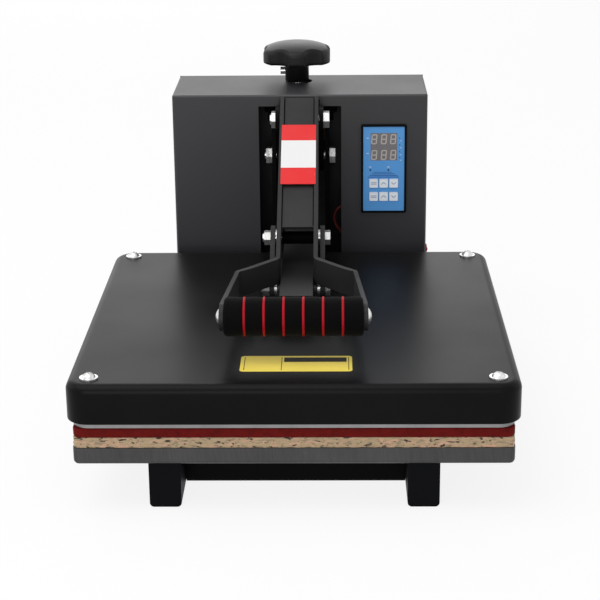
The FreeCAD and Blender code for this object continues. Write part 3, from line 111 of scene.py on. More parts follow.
# ------------------------------------------------------------------ settings
def colour(name, description, default):
    """Colour property, linear red, green and blue."""
    return FloatVectorProperty(
        name=name, description=description, default=default, size=3, min=0.0, max=1.0, subtype="COLOR")


def length(name, description, default):
    """Length property in metres."""
    return FloatProperty(
        name=name, description=description, default=default, min=0.0, subtype="DISTANCE", unit="LENGTH")


def lengths(name, description, default):
    """Property of several lengths in metres."""
    return FloatVectorProperty(
        name=name, description=description, default=default, size=len(default), subtype="XYZ", unit="LENGTH")


def share(name, description, default):
    """Property from 0 to 1."""
    return FloatProperty(
        name=name, description=description, default=default, min=0.0, max=1.0, subtype="FACTOR")


def power(name, description, default):
    """Power property in watts."""
    return FloatProperty(name=name, description=description, default=default, min=0.0, unit="POWER")


class HeatPressPaints(PropertyGroup):
    cover: colour("Cover paint", "Satin black of the heated head's cover", (0.0030, 0.0030, 0.0034))
    box: colour("Box paint", "Fine textured black of the control box", (0.0065, 0.0069, 0.0096))
    lever: colour("Lever paint", "Black of the lever, links and head arm", (0.0245, 0.0238, 0.0242))
    frame: colour("Frame paint", "Black of the base frame and mast", (0.0012, 0.0012, 0.0015))
    grain: length("Paint grain", "Size of the powder coat's grain", 0.0007)
    dust: share("Dust", "How much fine dust lies on faces that look up", 0.10)


class HeatPressPads(PropertyGroup):
    silicone: colour("Silicone", "Brick red of the silicone sponge", (0.090, 0.0050, 0.0040))
    felt: colour("Felt", "Cream ground of the felt", (0.43, 0.315, 0.195))
    felt_dark: colour("Felt fibres", "Dark fibres pressed into the felt", (0.045, 0.040, 0.034))
    felt_pink: colour("Felt chips", "Pinkish chips in the felt", (0.62, 0.36, 0.25))
    platen: colour("Platen metal", "Cast aluminium of the lower platen", (0.070, 0.068, 0.068))
    heater: colour("Heater metal", "Cast aluminium of the heater plate", (0.26, 0.255, 0.258))
    edge_wave: length("Felt edge wave", "How far the felt's cut edge wanders", 0.0005)


class HeatPressGrip(PropertyGroup):
    foam: colour("Foam", "Black of the foam grip", (0.0013, 0.0013, 0.0014))
    rings: colour("Rings", "Red of the grip's rings", (0.34, 0.0025, 0.0110))
    bulge: length("Bulge", "How far the foam swells between two rings", 0.0003)
    pinch: length("Pinch", "How far the foam is drawn in beside a ring", 0.0005)


class HeatPressControls(PropertyGroup):
    panel: colour("Panel", "Blue of the controller's face", (0.093, 0.335, 0.740))
    panel_line: colour("Panel lines", "Dark blue of the lines printed on the face", (0.012, 0.070, 0.300))
    window: colour("Window", "Smoked display window", (0.175, 0.166, 0.176))
    digit: colour("Digits", "Display segments that are not lit", (0.50, 0.46, 0.43))
    key: colour("Keys", "Pale keys", (0.82, 0.87, 0.95))
    key_mark: colour("Key marks", "Grey of the arrows on the keys", (0.32, 0.38, 0.50))
    digit_height: length("Digit height", "Height of one display digit", 0.0108)
    digit_width: length("Digit width", "Width of one display digit", 0.0062)


class HeatPressLabels(PropertyGroup):
    red: colour("Lever label red", "Red ends of the lever's label", (0.74, 0.0130, 0.0160))
    white: colour("Lever label white", "White middle of the lever's label", (0.80, 0.80, 0.80))
    yellow: colour("Cover label yellow", "Yellow of the cover's label", (0.98, 0.76, 0.095))
    black: colour("Cover label black", "Black bar and lines of the cover's label", (0.008, 0.007, 0.006))
    lever_size: lengths("Lever label size", "Width and length of the label on the lever", (0.0350, 0.0875))
    cover_size: lengths("Cover label size", "Width and depth of the label on the cover", (0.0975, 0.0375))


class HeatPressStudio(PropertyGroup):
    floor: colour("Floor", "Pale floor and backdrop", (0.94, 0.94, 0.94))
    camera_place: lengths("Camera place", "Where the camera stands", (0.034009, -1.589983, 0.646105))
    camera_turn: FloatVectorProperty(
        name="Camera turn", description="Pitch down, roll and yaw of the camera", size=3,
        default=(math.radians(18.742), math.radians(-0.565), math.radians(-1.174)),
        subtype="EULER", unit="ROTATION")
    camera_lens: FloatProperty(
        name="Camera lens", description="Focal length on a 36 mm wide sensor, in millimetres",
        default=101.323, min=1.0, unit="CAMERA")
    surround: FloatProperty(
        name="Surround", description="Strength of the even light from all round", default=0.50, min=0.0)
    key_light: power("Key light", "Power of the large lamp above and to the left", 30.0)
    fill_light: power("Fill light", "Power of each lamp at the sides", 3.0)
    back_light: power("Back light", "Power of the wide lamp behind, for a sheen on the tops", 16.0)
    front_light: power("Front light", "Power of the lamp low in front", 19.0)


# ------------------------------------------------------------------ meshes
def new_piece(name, verts, faces, smooth=True, sharp=None):
    """Object at the origin with these points and faces, turned so that a closed shape's faces look out. Edges
    bent by more than the sharp angle, in degrees, stay sharp."""
    verts = np.asarray(verts, float)
    mesh = bpy.data.meshes.new(name)
    tri = np.array([[f[0], f[i], f[i + 1]] for f in faces for i in range(1, len(f) - 1)])
    a, b, c = verts[tri[:, 0]], verts[tri[:, 1]], verts[tri[:, 2]]
    if np.einsum("ij,ij->", a, np.cross(b, c)) < 0:
        faces = [f[::-1] for f in faces]
    mesh.from_pydata(verts.tolist(), [], faces)
    mesh.polygons.foreach_set("use_smooth", np.full(len(mesh.polygons), smooth))
    mesh.update()
    if sharp is not None:
        mesh.set_sharp_from_angle(angle=math.radians(sharp))
    obj = bpy.data.objects.new(name, mesh)
    bpy.context.scene.collection.objects.link(obj)
    return obj


def grid_faces(rows, cols, ring=False):
    """Quads between neighbouring points of a grid; columns close on themselves, and rows too in a ring."""
    r = np.arange(rows if ring else rows - 1)[:, None]
    c = np.arange(cols)[None, :]
    r2, c2 = (r + 1) % rows, (c + 1) % cols
    quads = np.stack([r * cols + c, r * cols + c2, r2 * cols + c2, r2 * cols + c], -1)
    return quads.reshape(-1, 4).tolist()


def fan(row_start, cols, pole, reverse):
    """Triangles from a ring of points to its pole."""
    c = np.arange(cols)
    t = np.stack([row_start + c, row_start + (c + 1) % cols, np.full(cols, pole)], -1)
    return (t[:, ::-1] if reverse else t).tolist()


def shell(grid):
    """Closed surface of stacked rings, the first and the last drawn together to their middle points."""
    rows, cols = grid.shape[:2]
    points = np.vstack([grid.reshape(-1, 3), grid[0].mean(0), grid[-1].mean(0)])
    faces = grid_faces(rows, cols)
    faces += fan(0, cols, rows * cols, True)
    faces += fan((rows - 1) * cols, cols, rows * cols + 1, False)
    return points, faces


def ring_surface(grid):
    """Closed surface of rings whose first and last ring are neighbours, as in a torus."""
    rows, cols = grid.shape[:2]
    return grid.reshape(-1, 3), grid_faces(rows, cols, ring=True)


def gather(parts):
    """Several (points, faces) in one list of points and faces."""
    points, faces, first = [], [], 0
    for p, f in parts:
        points.append(p)
        faces += [[i + first for i in face] for face in f]
        first += len(p)
    return np.vstack(points), faces


def rounded_outline(half_u, half_v, radius, per_corner, per_side):
    """Closed outline of a rectangle with round corners: each corner is a quarter circle about a centre that
    lies one radius inside both sides, and each straight side is divided evenly."""
    t = np.linspace(0, math.pi / 2, per_corner)[:, None]
    signs = np.array([(1, 1), (-1, 1), (-1, -1), (1, -1)])
    centres = signs * (half_u - radius, half_v - radius)
    turns = t + math.pi / 2 * np.arange(4)
    arcs = centres[:, None] + radius * np.stack([np.cos(turns), np.sin(turns)], -1).transpose(1, 0, 2)
    s = np.linspace(0, 1, per_side + 2)[1:-1, None]
    sides = [a[-1] + s * (b[0] - a[-1]) for a, b in zip(arcs, np.roll(arcs, -1, axis=0))]
    return np.vstack([part for pair in zip(arcs, sides) for part in pair])


def stacked_outline(half_u, half_v, radius, profile, centre, per_corner, per_side):
    """Rings of one rounded rectangle, one for each (inset, height) of a profile: an inset ring is the
    rectangle less that inset on each side, with the corner radius reduced alike but never below a hair."""
    hair = 0.00005
    rings = []
    for inset, height in profile:
        r = max(radius - inset, hair)
        o = rounded_outline(max(half_u - inset, r), max(half_v - inset, r), r, per_corner, per_side)
        rings.append(np.column_stack([o[:, 0] + centre[0], o[:, 1] + centre[1], np.full(len(o), height)]))
    return np.array(rings)


def quarter(radius, centre_inset, centre_height, start, end, count):
    """Points of a round edge in a profile: (inset, height) on a circle from one angle to another, in degrees,
    where 0 looks outwards and 90 looks up."""
    a = np.radians(np.linspace(start, end, count))
    return list(zip(centre_inset - radius * np.cos(a), centre_height + radius * np.sin(a)))


def turned_rings(profile, centre, axis, count):
    """Rings of a turned shape: each (along, radius) of the profile carried round the axis."""
    profile = np.asarray(profile, float)
    a = np.linspace(0, 2 * math.pi, count, endpoint=False)
    along, radius = profile[:, 0][:, None], profile[:, 1][:, None]
    u, v, w = radius * np.cos(a), radius * np.sin(a), along + 0 * a
    order = {"X": (w, u, v), "Z": (u, v, w)}[axis]
    return np.stack(order, -1) + np.asarray(centre, float)


def flat_print(outline, place, thickness):
    """Thin raised print: an outline (u, v) with a back at 0 and a front at the thickness, put in place.
    An inner ring keeps each face flat."""
    outline = np.asarray(outline, float)
    inner_share = 0.98
    inner = outline.mean(0) + (outline - outline.mean(0)) * inner_share
    rings = [(inner, 0.0), (outline, 0.0), (outline, thickness), (inner, thickness)]
    return shell(np.array([place(np.column_stack([o, np.full(len(o), out)])) for o, out in rings]))


def front_place(x, y, z):
    """Places (u, v, out) on a face that looks to the front: u to the right, v up."""
    return lambda p: np.column_stack([x + p[:, 0], y - p[:, 2], z + p[:, 1]])


def top_place(x, y, z):
    """Places (u, v, out) on a face that looks up: u to the right, v to the back."""
    return lambda p: np.column_stack([x + p[:, 0], y + p[:, 1], z + p[:, 2]])


def lever_place(lift, along):
    """Places (u, v, out) above the lever's web: u to the right, v down the slope from a point so far along
    from the web's upper end, out away from the web, from a plane raised by the lift."""
    down = np.array([0.0, -math.cos(LEVER_SLOPE), -math.sin(LEVER_SLOPE)])
    out = np.array([0.0, -math.sin(LEVER_SLOPE), math.cos(LEVER_SLOPE)])
    top = high("lever_web")
    start = np.array([0.0, top.y - WEB_THICKNESS * math.sin(LEVER_SLOPE), top.z]) + lift * out + along * down
    return lambda p: start + np.outer(p[:, 0], (1, 0, 0)) + np.outer(p[:, 1], down) + np.outer(p[:, 2], out)


def face_print(name, outlines, place, thickness, material):
    """Thin print on the controller's face."""
    print_piece(name, outlines, place, thickness, "base", finish(material), "panel_blue")


def bar(u0, u1, v0, v1):
    """Outline of a plain bar."""
    return [(u0, v0), (u1, v0), (u1, v1), (u0, v1)]


def stroke(a, b, width):
    """Outline of a straight stroke with square ends."""
    a, b = np.array(a, float), np.array(b, float)
    d = (b - a) / np.linalg.norm(b - a)
    n = np.array([-d[1], d[0]]) * width / 2
    return [a - n, b - n, b + n, a + n]


def rounded_path(points):
    """Smooth curve along a broken line: its corners are cut again and again, each leg keeping its points at
    a quarter and at three quarters, which ends in the quadratic B-spline of the line."""
    rounds = 4
    p = np.asarray(points, float)
    for _ in range(rounds):
        cut = np.stack([0.75 * p[:-1] + 0.25 * p[1:], 0.25 * p[:-1] + 0.75 * p[1:]], 1).reshape(-1, 3)
        p = np.vstack([p[:1], cut, p[-1:]])
    return p


def tube_along(path, radius):
    """Round tube along a path: at each point a circle stands square to the path, on the two axes that the
    path's direction makes with a slanting reference that no part of the path follows."""
    slanting, corners = (0.31, 0.52, -0.79), 12
    path = np.asarray(path, float)
    ahead = np.gradient(path, axis=0)
    ahead /= np.linalg.norm(ahead, axis=1)[:, None]
    side = np.cross(ahead, slanting)
    side /= np.linalg.norm(side, axis=1)[:, None]
    other = np.cross(ahead, side)
    a = np.linspace(0, 2 * math.pi, corners, endpoint=False)[:, None]
    return path[:, None] + radius * (np.cos(a) * side[:, None] + np.sin(a) * other[:, None])


def dress(obj, body, material, slot, *stands_for):
    """Finish a new piece: its material, the body it moves with and the nodes that it stands for. The slot,
    the finish it would be listed under, is not used."""
    obj.data.materials.clear()
    obj.data.materials.append(material)
    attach(obj, body)
    if stands_for:
        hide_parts(*stands_for)


def print_piece(name, outlines, place, thickness, body, material, slot):
    """Thin print of several outlines on a face."""
    obj = new_piece(name, *gather([flat_print(o, place, thickness) for o in outlines]), smooth=False)
    dress(obj, body, material, slot)


# ------------------------------------------------------------------ material building
def add(tree, kind, values=None, **settings):
    """One node with its settings and the values of its sockets; a value that is a socket is linked."""
    n = tree.nodes.new(kind)
    for key, value in settings.items():
        setattr(n, key, value)
    for key, value in (values or {}).items():
        if isinstance(value, bpy.types.NodeSocket):
            tree.links.new(value, n.inputs[key])
        else:
            n.inputs[key].default_value = value
    return n


def maths(tree, operation, a, b=0.0, clamp=False):
    """One maths node on two values or sockets."""
    return add(tree, "ShaderNodeMath", {0: a, 1: b}, operation=operation, use_clamp=clamp).outputs[0]


def vector_maths(tree, operation, a, b):
    """One maths node on two vectors or sockets."""
    return add(tree, "ShaderNodeVectorMath", {0: a, 1: b}, operation=operation).outputs[0]


def noise(tree, place, scale, detail, roughness=0.5, output="Fac"):
    """Noise at a place."""
    values = {"Vector": place, "Scale": scale, "Detail": detail, "Roughness": roughness}
    return add(tree, "ShaderNodeTexNoise", values).outputs[output]


def spread(tree, value, source, target=UNIT):
    """Carry a value from one range to another, clamped."""
    limits = dict(zip(("From Min", "From Max", "To Min", "To Max"), (*source, *target)))
    return add(tree, "ShaderNodeMapRange", {"Value": value, **limits}).outputs["Result"]


def blend_colours(tree, factor, a, b):
    """Mix two colours, each a socket or linear red, green and blue."""
    a, b = (c if isinstance(c, bpy.types.NodeSocket) else (*c[:3], 1.0) for c in (a, b))
    values = {"Factor": factor, 6: a, 7: b}
    return add(tree, "ShaderNodeMix", values, data_type="RGBA", clamp_factor=True).outputs[2]


def shades(tree, mask, base, variation):
    """The base colour from darker to lighter by the variation, along a mask."""
    return blend_colours(tree, mask, lighter(base, 1 - variation), lighter(base, 1 + variation))


def lighter(c, factor):
    """A colour multiplied, kept below 1."""
    return tuple(min(1.0, x * factor) for x in c[:3])


def start_group(name, inputs, outputs):
    """Empty node group with named number inputs and outputs."""
    tree = bpy.data.node_groups.new(name, "ShaderNodeTree")
    for label, default in inputs.items():
        socket = tree.interface.new_socket(name=label, in_out="INPUT", socket_type="NodeSocketFloat")
        socket.default_value = default
    for label in outputs:
        tree.interface.new_socket(name=label, in_out="OUTPUT", socket_type="NodeSocketFloat")
    return tree, tree.nodes.new("NodeGroupInput").outputs, tree.nodes.new("NodeGroupOutput").inputs


def give(tree, out, **results):
    """Link a group's results to its outputs."""
    for label, socket in results.items():
        tree.links.new(socket, out[label])


def object_place(tree, stretch=None):
    """Place in the object's own coordinates, stretched per axis."""
    place = add(tree, "ShaderNodeTexCoord").outputs["Object"]
    if stretch is None:
        return place
    return add(tree, "ShaderNodeMapping", {"Vector": place, "Scale": stretch}).outputs["Vector"]


def powder_group():
    """Powder coat: fine grain over a slow orange peel. Puts out its height, a gloss mask and a shade mask."""
    tree, given, out = start_group(
        "powder_coat", {"Grain": 0.0007, "Peel": 0.004}, ("Height", "Gloss", "Shade"))
    place = object_place(tree)
    fine = noise(tree, place, maths(tree, "DIVIDE", 1.0, given["Grain"]), detail=3.0, roughness=0.6)
    slow = noise(tree, place, maths(tree, "DIVIDE", 1.0, given["Peel"]), detail=1.0, roughness=0.4)
    cloud = noise(tree, place, scale=9.0, detail=4.0, roughness=0.55)
    fine_share = 0.35
    height = maths(tree, "ADD", maths(tree, "MULTIPLY", fine, fine_share), slow)
    mean = maths(tree, "MULTIPLY", maths(tree, "ADD", fine, cloud), 0.5)
    give(tree, out, Height=height, Gloss=mean, Shade=cloud)
    return tree


def scuff_group():
    """Rubbed and scratched places: long thin scratches inside patches. Puts out one mask."""
    tree, given, out = start_group("scuffs", {"Patch": 14.0, "Amount": 0.4}, ("Mask",))
    patch = noise(tree, object_place(tree), given["Patch"], detail=5.0, roughness=0.65)
    upright = noise(tree, object_place(tree, (900.0, 40.0, 500.0)), scale=1.0, detail=2.0)
    level = noise(tree, object_place(tree, (60.0, 800.0, 90.0)), scale=1.0, detail=2.0)
    lines = maths(tree, "MAXIMUM", spread(tree, upright, (0.66, 0.74)), spread(tree, level, (0.67, 0.75)))
    inside = maths(tree, "MULTIPLY", lines, spread(tree, patch, (0.56, 0.72)))
    give(tree, out, Mask=maths(tree, "MULTIPLY", inside, given["Amount"], clamp=True))
    return tree


def dust_group():
    """Fine dust: broken noise, weighed by how far the face looks up. Puts out one mask."""
    tree, given, out = start_group("dust", {"Amount": 0.1}, ("Mask",))
    normal = add(tree, "ShaderNodeNewGeometry").outputs["Normal"]
    looks_up = spread(tree, add(tree, "ShaderNodeSeparateXYZ", {"Vector": normal}).outputs["Z"], (0.55, 0.98))
    cloud = noise(tree, object_place(tree), scale=6.0, detail=6.0, roughness=0.7)
    specks = noise(tree, object_place(tree), scale=900.0, detail=1.0)
    fall = maths(tree, "MULTIPLY", spread(tree, cloud, (0.35, 0.75), (0.15, 1.0)),
                 spread(tree, specks, (0.45, 0.75), (0.3, 1.0)))
    amount = maths(tree, "MULTIPLY", looks_up, given["Amount"])
    give(tree, out, Mask=maths(tree, "MULTIPLY", fall, amount, clamp=True))
    return tree


def brushed_group():
    """Ground metal: thin streaks that run along Z on upright faces and along Y on flat ones, with a cloud
    over them. Puts out its height, a streak mask and a cloud mask."""
    tree, given, out = start_group(
        "ground_metal", {"Fineness": 900.0, "Lean": 0.35}, ("Height", "Streaks", "Cloud"))
    depth_scale, up_scale = 60.0, 45.0
    parts = add(tree, "ShaderNodeSeparateXYZ", {"Vector": object_place(tree)}).outputs
    leaning = maths(tree, "ADD", parts["X"], maths(tree, "MULTIPLY", parts["Z"], given["Lean"]))
    at = add(tree, "ShaderNodeCombineXYZ", {
        "X": maths(tree, "MULTIPLY", leaning, given["Fineness"]),
        "Y": maths(tree, "MULTIPLY", parts["Y"], depth_scale),
        "Z": maths(tree, "MULTIPLY", parts["Z"], up_scale)}).outputs["Vector"]
    streaks = noise(tree, at, scale=1.0, detail=3.0, roughness=0.65)
    cloud = noise(tree, object_place(tree), scale=22.0, detail=5.0, roughness=0.6)
    give(tree, out, Height=streaks, Streaks=streaks, Cloud=cloud)
    return tree


def cell_group():
    """Closed foam cells: a fine Voronoi pattern over a slow swell. Puts out its height and a shade mask."""
    tree, given, out = start_group("foam_cells", {"Cell": 0.0006}, ("Height", "Shade"))
    cell_share, swell_share = 0.6, 0.5
    size = maths(tree, "DIVIDE", 1.0, given["Cell"])
    values = {"Vector": object_place(tree), "Scale": size}
    cells = add(tree, "ShaderNodeTexVoronoi", values).outputs["Distance"]
    swell = noise(tree, object_place(tree), scale=140.0, detail=3.0)
    height = maths(tree, "ADD", maths(tree, "MULTIPLY", cells, cell_share),
                   maths(tree, "MULTIPLY", swell, swell_share))
    mean = maths(tree, "MULTIPLY", maths(tree, "ADD", cells, swell), 0.5)
    give(tree, out, Height=height, Shade=mean)
    return tree


def felt_group():
    """Pressed felt: flat lying fibres and chips. Puts out masks of dark fibres, of grey fibres and of chips,
    and a height."""
    tree, given, out = start_group("pressed_felt", {"Fibre": 160.0}, ("Dark", "Grey", "Chips", "Height"))
    flatten, drift, grey_shift = (1.0, 1.0, 2.8), (0.012, 0.012, 0.012), (3.1, 1.7, 2.3)
    warp = noise(tree, object_place(tree), scale=60.0, detail=2.0, output="Color")
    at = vector_maths(tree, "ADD", object_place(tree, flatten), vector_maths(tree, "MULTIPLY", warp, drift))
    dark = noise(tree, at, given["Fibre"], detail=2.0, roughness=0.55)
    grey = noise(tree, vector_maths(tree, "ADD", at, grey_shift), given["Fibre"], detail=3.0, roughness=0.6)
    cells = add(tree, "ShaderNodeTexVoronoi", {"Vector": at, "Scale": 130.0}).outputs["Color"]
    chip = add(tree, "ShaderNodeSeparateColor", {"Color": cells}).outputs["Red"]
    fuzz = noise(tree, object_place(tree), scale=900.0, detail=3.0)
    give(tree, out, Dark=spread(tree, dark, (0.60, 0.635)), Grey=spread(tree, grey, (0.53, 0.61)),
         Chips=spread(tree, chip, (0.6, 0.95), (0.0, 0.7)), Height=maths(tree, "ADD", fuzz, dark))
    return tree


def looked_at(tree):
    """1 where the camera, a mirror or a glass looks, 0 for the light that falls on other things."""
    path = tree.nodes.new("ShaderNodeLightPath").outputs
    mirror = maths(tree, "MAXIMUM", path["Is Camera Ray"], path["Is Glossy Ray"])
    return maths(tree, "MAXIMUM", mirror, path["Is Transmission Ray"])


GROUP_MAKERS = {
    "powder": powder_group, "scuffs": scuff_group, "dust": dust_group,
    "brushed": brushed_group, "cells": cell_group, "felt": felt_group,
}
GROUPS = {}


def group(tree, name, **values):
    """Place one of the shared effects in a material, built once."""
    if name not in GROUPS:
        GROUPS[name] = GROUP_MAKERS[name]()
    n = tree.nodes.new("ShaderNodeGroup")
    n.node_tree = GROUPS[name]
    for key, value in values.items():
        n.inputs[key].default_value = value
    return n.outputs


def empty_material(name):
    """Material without nodes but its output."""
    mat = bpy.data.materials.new(name)
    mat.use_nodes = True
    mat.node_tree.nodes.clear()
    return mat, mat.node_tree, mat.node_tree.nodes.new("ShaderNodeOutputMaterial")


def start_material(name, fixed):
    """Material with one Principled shader; fixed holds the values set on its own sockets."""
    mat, tree, out = empty_material(name)
    skin = add(tree, "ShaderNodeBsdfPrincipled", fixed)
    tree.links.new(skin.outputs["BSDF"], out.inputs["Surface"])
    return mat, tree, skin.inputs


def gloss_of(tree, mask, rough, smoother, rougher):
    """Roughness about a middle value, from smoother to rougher along a mask."""
    return spread(tree, mask, GLOSS_RANGE, (rough - smoother, rough + rougher))


def finish_skin(tree, skin, base, roughness, height, distance):
    """Feed colour, roughness and a bump's height into the shader."""
    tree.links.new(base, skin["Base Color"])
    tree.links.new(roughness, skin["Roughness"])
    bump = add(tree, "ShaderNodeBump", {"Height": height, "Distance": distance, "Strength": 1.0})
    tree.links.new(bump.outputs["Normal"], skin["Normal"])


def paint(name, base, grain, peel, rough, bump, specular, dust, scuffs):
    """Painted steel: powder coat grain in the normal, slow changes of shade and gloss, light scuffs and dust
    on top."""
    variation, scuff_patch, scuff_light, dull = 0.35, 11.0, 5.0, 0.35
    mat, tree, skin = start_material(name, {"Specular IOR Level": specular})
    coat = group(tree, "powder", Grain=grain, Peel=peel)
    worn = group(tree, "scuffs", Patch=scuff_patch, Amount=scuffs)["Mask"]
    fell = group(tree, "dust", Amount=dust)["Mask"]
    c = shades(tree, spread(tree, coat["Shade"], CLOUD_RANGE), base, variation)
    c = blend_colours(tree, worn, c, lighter(base, scuff_light))
    c = blend_colours(tree, fell, c, DUST_COLOUR)
    gloss = gloss_of(tree, coat["Gloss"], rough, smoother=0.05, rougher=0.06)
    dulled = maths(tree, "MULTIPLY", maths(tree, "ADD", worn, fell), dull)
    finish_skin(tree, skin, c, maths(tree, "ADD", gloss, dulled, clamp=True), coat["Height"], bump)
    return mat


def metal(name, base, rough, bump, fineness, lean, metallic=1.0, variation=0.25):
    """Bare metal: ground streaks and clouds in shade, gloss and normal."""
    streak_share, cloud_share, scuff_patch, scuff_amount, scuff_light = 0.55, 0.45, 18.0, 0.5, 2.2
    mat, tree, skin = start_material(name, {"Metallic": metallic})
    ground = group(tree, "brushed", Fineness=fineness, Lean=lean)
    worn = group(tree, "scuffs", Patch=scuff_patch, Amount=scuff_amount)["Mask"]
    shade = maths(tree, "ADD", maths(tree, "MULTIPLY", ground["Streaks"], streak_share),
                  maths(tree, "MULTIPLY", ground["Cloud"], cloud_share))
    c = shades(tree, spread(tree, shade, (0.32, 0.68)), base, variation)
    c = blend_colours(tree, worn, c, lighter(base, scuff_light))
    gloss = spread(tree, shade, CLOUD_RANGE, (rough + 0.08, rough - 0.06))
    finish_skin(tree, skin, c, gloss, ground["Height"], bump)
    return mat


def plastic(name, base, rough, grain=0.0009, bump=0.00001, specular=0.5, variation=0.12, dust=0.0):
    """Moulded plastic: a faint spark eroded grain, slow shade changes and a little dust."""
    mat, tree, skin = start_material(name, {"Specular IOR Level": specular})
    coat = group(tree, "powder", Grain=grain, Peel=0.012)
    fell = group(tree, "dust", Amount=dust)["Mask"]
    c = shades(tree, spread(tree, coat["Shade"], CLOUD_RANGE), base, variation)
    c = blend_colours(tree, fell, c, DUST_COLOUR)
    gloss = gloss_of(tree, coat["Gloss"], rough, smoother=0.04, rougher=0.05)
    finish_skin(tree, skin, c, gloss, coat["Height"], bump)
    return mat


def printed(name, base, rough, specular=0.4):
    """Printed film: a faint print grain in shade and gloss."""
    return plastic(name, base, rough, grain=0.0004, bump=0.000004, specular=specular, variation=0.05)


def foam(name, base, cell, bump, rough, sheen):
    """Soft foam skin: fine cells in shade and normal, with a soft sheen."""
    mat, tree, skin = start_material(
        name, {"Specular IOR Level": 0.06, "Sheen Weight": sheen, "Sheen Roughness": 0.5})
    cells = group(tree, "cells", Cell=cell)
    cell_range, darkest, lightest = (0.25, 0.6), 0.6, 1.5
    shade = spread(tree, cells["Shade"], cell_range)
    c = blend_colours(tree, shade, lighter(base, darkest), lighter(base, lightest))
    gloss = spread(tree, cells["Shade"], cell_range, (rough - 0.1, rough))
    finish_skin(tree, skin, c, gloss, cells["Height"], bump)
    return mat


def felt(name, base, dark, pink):
    """Felt pressed from cream waste: dark and grey fibres lie flat in it, between pinkish chips."""
    grey, grey_share, bump = (0.20, 0.17, 0.11), 0.65, 0.0006
    mat, tree, skin = start_material(name, {"Specular IOR Level": 0.15, "Sheen Weight": 0.2})
    f = group(tree, "felt")
    c = blend_colours(tree, f["Chips"], base, pink)
    c = blend_colours(tree, maths(tree, "MULTIPLY", f["Grey"], grey_share), c, grey)
    c = blend_colours(tree, f["Dark"], c, dark)
    finish_skin(tree, skin, c, spread(tree, f["Grey"], UNIT, (0.95, 0.8)), f["Height"], bump)
    return mat


def recipes():
    """Every finish: the function that makes it, its colour and that function's other values."""
    scene = bpy.context.scene
    paints, pads, controls = scene.heat_press_paints, scene.heat_press_pads, scene.heat_press_controls
    grip, grain, dust = scene.heat_press_grip, paints.grain, paints.dust
    return {
        "cover_paint": (paint, paints.cover, dict(
            grain=0.8 * grain, peel=0.006, rough=0.34, bump=0.000012, specular=0.075, dust=0.3 * dust,
            scuffs=0.1)),
        "box_paint": (paint, paints.box, dict(
            grain=grain, peel=0.0022, rough=0.5, bump=0.00004, specular=0.62, dust=0.5 * dust, scuffs=0.2)),
        "lever_paint": (paint, paints.lever, dict(
            grain=grain, peel=0.003, rough=0.44, bump=0.000025, specular=0.17, dust=0.5 * dust, scuffs=0.3)),
        "frame_paint": (paint, paints.frame, dict(
            grain=grain, peel=0.004, rough=0.5, bump=0.00002, specular=0.05, dust=0.5 * dust, scuffs=0.15)),
        "cast_platen": (metal, pads.platen, dict(
            rough=0.44, bump=0.00003, fineness=1300.0, lean=0.12, variation=0.2)),
        "heater_metal": (metal, pads.heater, dict(
            rough=0.5, bump=0.000002, fineness=50.0, lean=0.0, variation=0.12)),
        "zinc_steel": (metal, (0.70, 0.70, 0.69), dict(
            rough=0.27, bump=0.00001, fineness=500.0, lean=0.3, metallic=0.8)),
        "blackened_steel": (metal, (0.020, 0.020, 0.022), dict(
            rough=0.45, bump=0.00001, fineness=500.0, lean=0.3)),
        "bronze": (metal, (0.11, 0.070, 0.028), dict(rough=0.42, bump=0.00001, fineness=600.0, lean=0.3)),
        "wool_board": (foam, (0.68, 0.66, 0.60), dict(cell=0.0012, bump=0.0003, rough=0.9, sheen=0.1)),
        "silicone": (foam, pads.silicone, dict(cell=0.0007, bump=0.00006, rough=0.7, sheen=0.0)),
        "grip_foam": (foam, grip.foam, dict(cell=0.00055, bump=0.00012, rough=0.9, sheen=0.03)),
        "felt": (felt, pads.felt, dict(dark=pads.felt_dark, pink=pads.felt_pink)),
        "ring_red": (plastic, grip.rings, dict(rough=0.45, specular=0.15)),
        "knob_plastic": (plastic, (0.0030, 0.0030, 0.0038), dict(
            rough=0.36, bump=0.000012, specular=0.20, dust=0.5 * dust)),
        "black_plastic": (plastic, (0.0030, 0.0032, 0.0045), dict(
            rough=0.42, specular=0.05, dust=0.5 * dust)),
        # near black and dull: painted shade, on the sleeve at the link pin and on the strips beside the
        # lever's web
        "painted_shade_black": (plastic, (0.0012, 0.0012, 0.0012), dict(rough=0.7, specular=0.05)),
        "window_dark": (plastic, controls.window, dict(rough=0.22, bump=0.000002, variation=0.1)),
        "key_white": (plastic, controls.key, dict(rough=0.4, variation=0.06)),
        "rocker_red": (plastic, (0.45, 0.012, 0.010), dict(rough=0.25)),
        "relay_grey": (plastic, (0.16, 0.17, 0.18), dict(rough=0.5)),
        "wire_red": (plastic, (0.075, 0.004, 0.003), dict(rough=0.45, specular=0.3)),
        "wire_grey": (plastic, (0.14, 0.14, 0.15), dict(rough=0.42)),
        "lamp_dark": (plastic, (0.02, 0.03, 0.06), dict(rough=0.2)),
        "panel_blue": (printed, controls.panel, dict(rough=0.38)),
        "panel_line": (printed, controls.panel_line, dict(rough=0.4)),
        "panel_white": (printed, (0.55, 0.68, 0.85), dict(rough=0.4)),
        "digit": (printed, controls.digit, dict(rough=0.5)),
        "key_mark": (printed, controls.key_mark, dict(rough=0.5)),
    }


MATERIALS = {}


def finish(name):
    """One of the object's finishes, built on first use from the settings."""
    if name not in MATERIALS:
        maker, base, values = recipes()[name]
        MATERIALS[name] = maker(name, base, **values)
    return MATERIALS[name]


